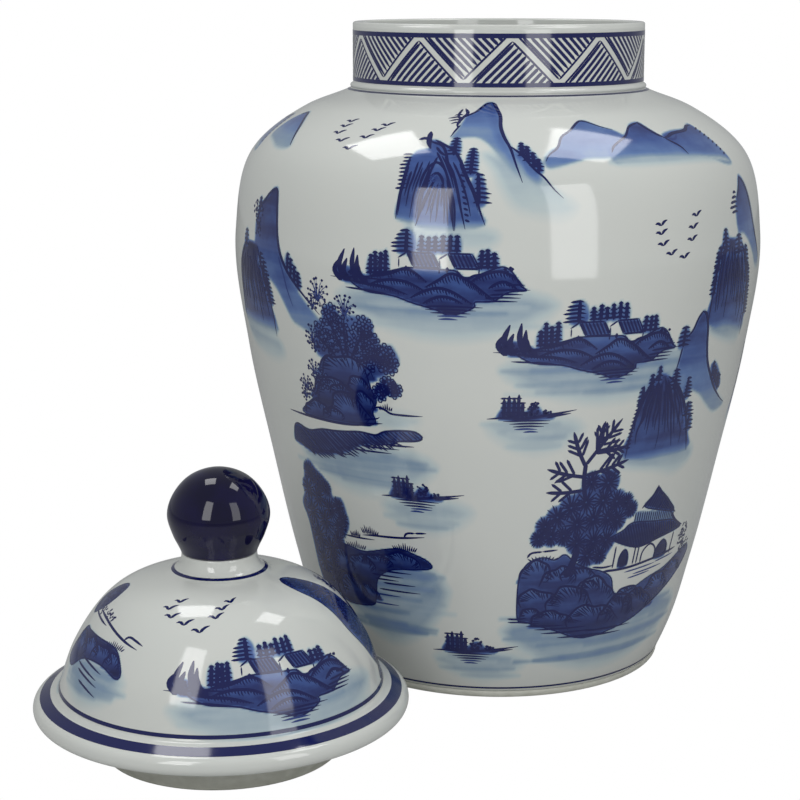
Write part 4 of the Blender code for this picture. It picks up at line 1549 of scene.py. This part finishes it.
def build_lid(materials, inks):
    """The lid's glazed body with its washes, its brushwork, its bare locating ring and its knob."""
    skin = Skin(dome_profile(), LID_CENTRE, LID_AROUND, LID_ZERO)
    sheet = Sheet(skin, LID_COLUMNS, seed=21)
    paint_lid(Pen(sheet))
    ring(sheet, *DOME_RING)
    flange = Sheet(Skin(flange_top_profile(), LID_CENTRE, FLANGE_MIDDLE[0], 0.0), LID_COLUMNS, seed=22)
    ring(flange, *FLANGE_RING)
    profile = lid_profile()
    lid, rows = turned("lid_porcelain", profile, LID_CENTRE, LID_COLUMNS, materials["porcelain"])
    first_row = int(np.nonzero((profile[1:] == skin.profile[0]).all(axis=1))[0][0])
    set_tones(lid, sheet, first_row, rows)
    finish_piece(lid, "lid", "painted_porcelain", "lid_dome")
    collar = Sheet(Skin(collar_profile(), LID_CENTRE, COLLAR[-1][0], 0.0), LID_COLUMNS, seed=23)
    ring(collar, *COLLAR_RING)
    painting = brushwork("lid_painting", [sheet, flange, collar], inks)
    finish_piece(painting, "lid", "painted_porcelain")
    locating_ring = locating_ring_profile()
    ring_piece, _ = turned("lid_ring", locating_ring, LID_CENTRE, RING_COLUMNS, materials["biscuit"])
    finish_piece(ring_piece, "lid", "unglazed_biscuit", "lid_locating_ring")
    knob, _ = turned("lid_knob_glaze", knob_profile(), LID_CENTRE, KNOB_COLUMNS, materials["cobalt"])
    finish_piece(knob, "lid", "cobalt_glaze", "lid_knob")


def finish_piece(piece, body, slot, *nodes):
    """Puts a piece on the body that it rides on, and hides the CAD nodes that it stands in for. slot is not
    used.
    """
    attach(piece, body)
    if nodes:
        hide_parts(*nodes)


# ---------------------------------------------------------------- studio


def softbox(name, place, target, width, height, radiance):
    """A rectangular light that the object mirrors, and that the camera doesn't see."""
    light = bpy.data.lights.new(name, "AREA")
    light.shape = "RECTANGLE"
    light.size = width
    light.size_y = height
    light.energy = radiance * math.pi * width * height
    box = bpy.data.objects.new(name, light)
    box.location = place
    box.rotation_euler = (Vector(target) - Vector(place)).to_track_quat("-Z", "Y").to_euler()
    box.visible_camera = False
    bpy.context.scene.collection.objects.link(box)


def white_for_camera(tree, lit, output):
    """Shows plain white to the camera, and leaves what lights and reflects in the object as it is."""
    path = tree.nodes.new("ShaderNodeLightPath")
    white = tree.nodes.new(
        "ShaderNodeEmission" if output.type == "OUTPUT_MATERIAL" else "ShaderNodeBackground",
    )
    mix = tree.nodes.new("ShaderNodeMixShader")
    tree.links.new(path.outputs["Is Camera Ray"], mix.inputs["Fac"])
    tree.links.new(lit, mix.inputs[1])
    tree.links.new(white.outputs[0], mix.inputs[2])
    white.inputs["Color"].default_value = (1, 1, 1, 1)
    white.inputs["Strength"].default_value = 1.0
    tree.links.new(mix.outputs["Shader"], output.inputs["Surface"])


def studio():
    """World, floor, softboxes and camera."""
    scene = bpy.context.scene
    scene.view_settings.view_transform = "Standard"
    world = bpy.data.worlds.new("studio")
    world.use_nodes = True
    scene.world = world
    background = world.node_tree.nodes["Background"]
    background.inputs["Color"].default_value = WORLD_COLOUR
    background.inputs["Strength"].default_value = WORLD_STRENGTH
    white_for_camera(
        world.node_tree, background.outputs["Background"], world.node_tree.nodes["World Output"],
    )
    bpy.ops.mesh.primitive_circle_add(vertices=96, radius=FLOOR_RADIUS, fill_type="NGON")
    floor = bpy.context.object
    floor.name = "floor"
    material, tree, shader = shader_of("pale_floor", FLOOR_ROUGHNESS)
    shader.inputs["Base Color"].default_value = FLOOR_COLOUR
    white_for_camera(tree, shader.outputs["BSDF"], tree.nodes["Material Output"])
    floor.data.materials.append(material)
    for settings in SOFTBOXES:
        softbox(*settings)
    camera = bpy.data.cameras.new("camera")
    camera.sensor_width = CAMERA_SENSOR
    camera.lens = CAMERA_LENS
    viewer = bpy.data.objects.new("camera", camera)
    viewer.location = CAMERA_PLACE
    viewer.rotation_euler = (math.radians(90 - CAMERA_PITCH), 0, 0)
    scene.collection.objects.link(viewer)
    scene.camera = viewer


def main():
    """Builds the pieces and the studio round the frame."""
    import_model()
    materials = {"porcelain": painted_porcelain(), "biscuit": biscuit(), "cobalt": cobalt_glaze()}
    inks = {name: ink_material(name, colour) for name, colour in INKS.items()}
    build_jar(materials, inks)
    build_lid(materials, inks)
    studio()
    bpy.context.view_layer.update()


main()
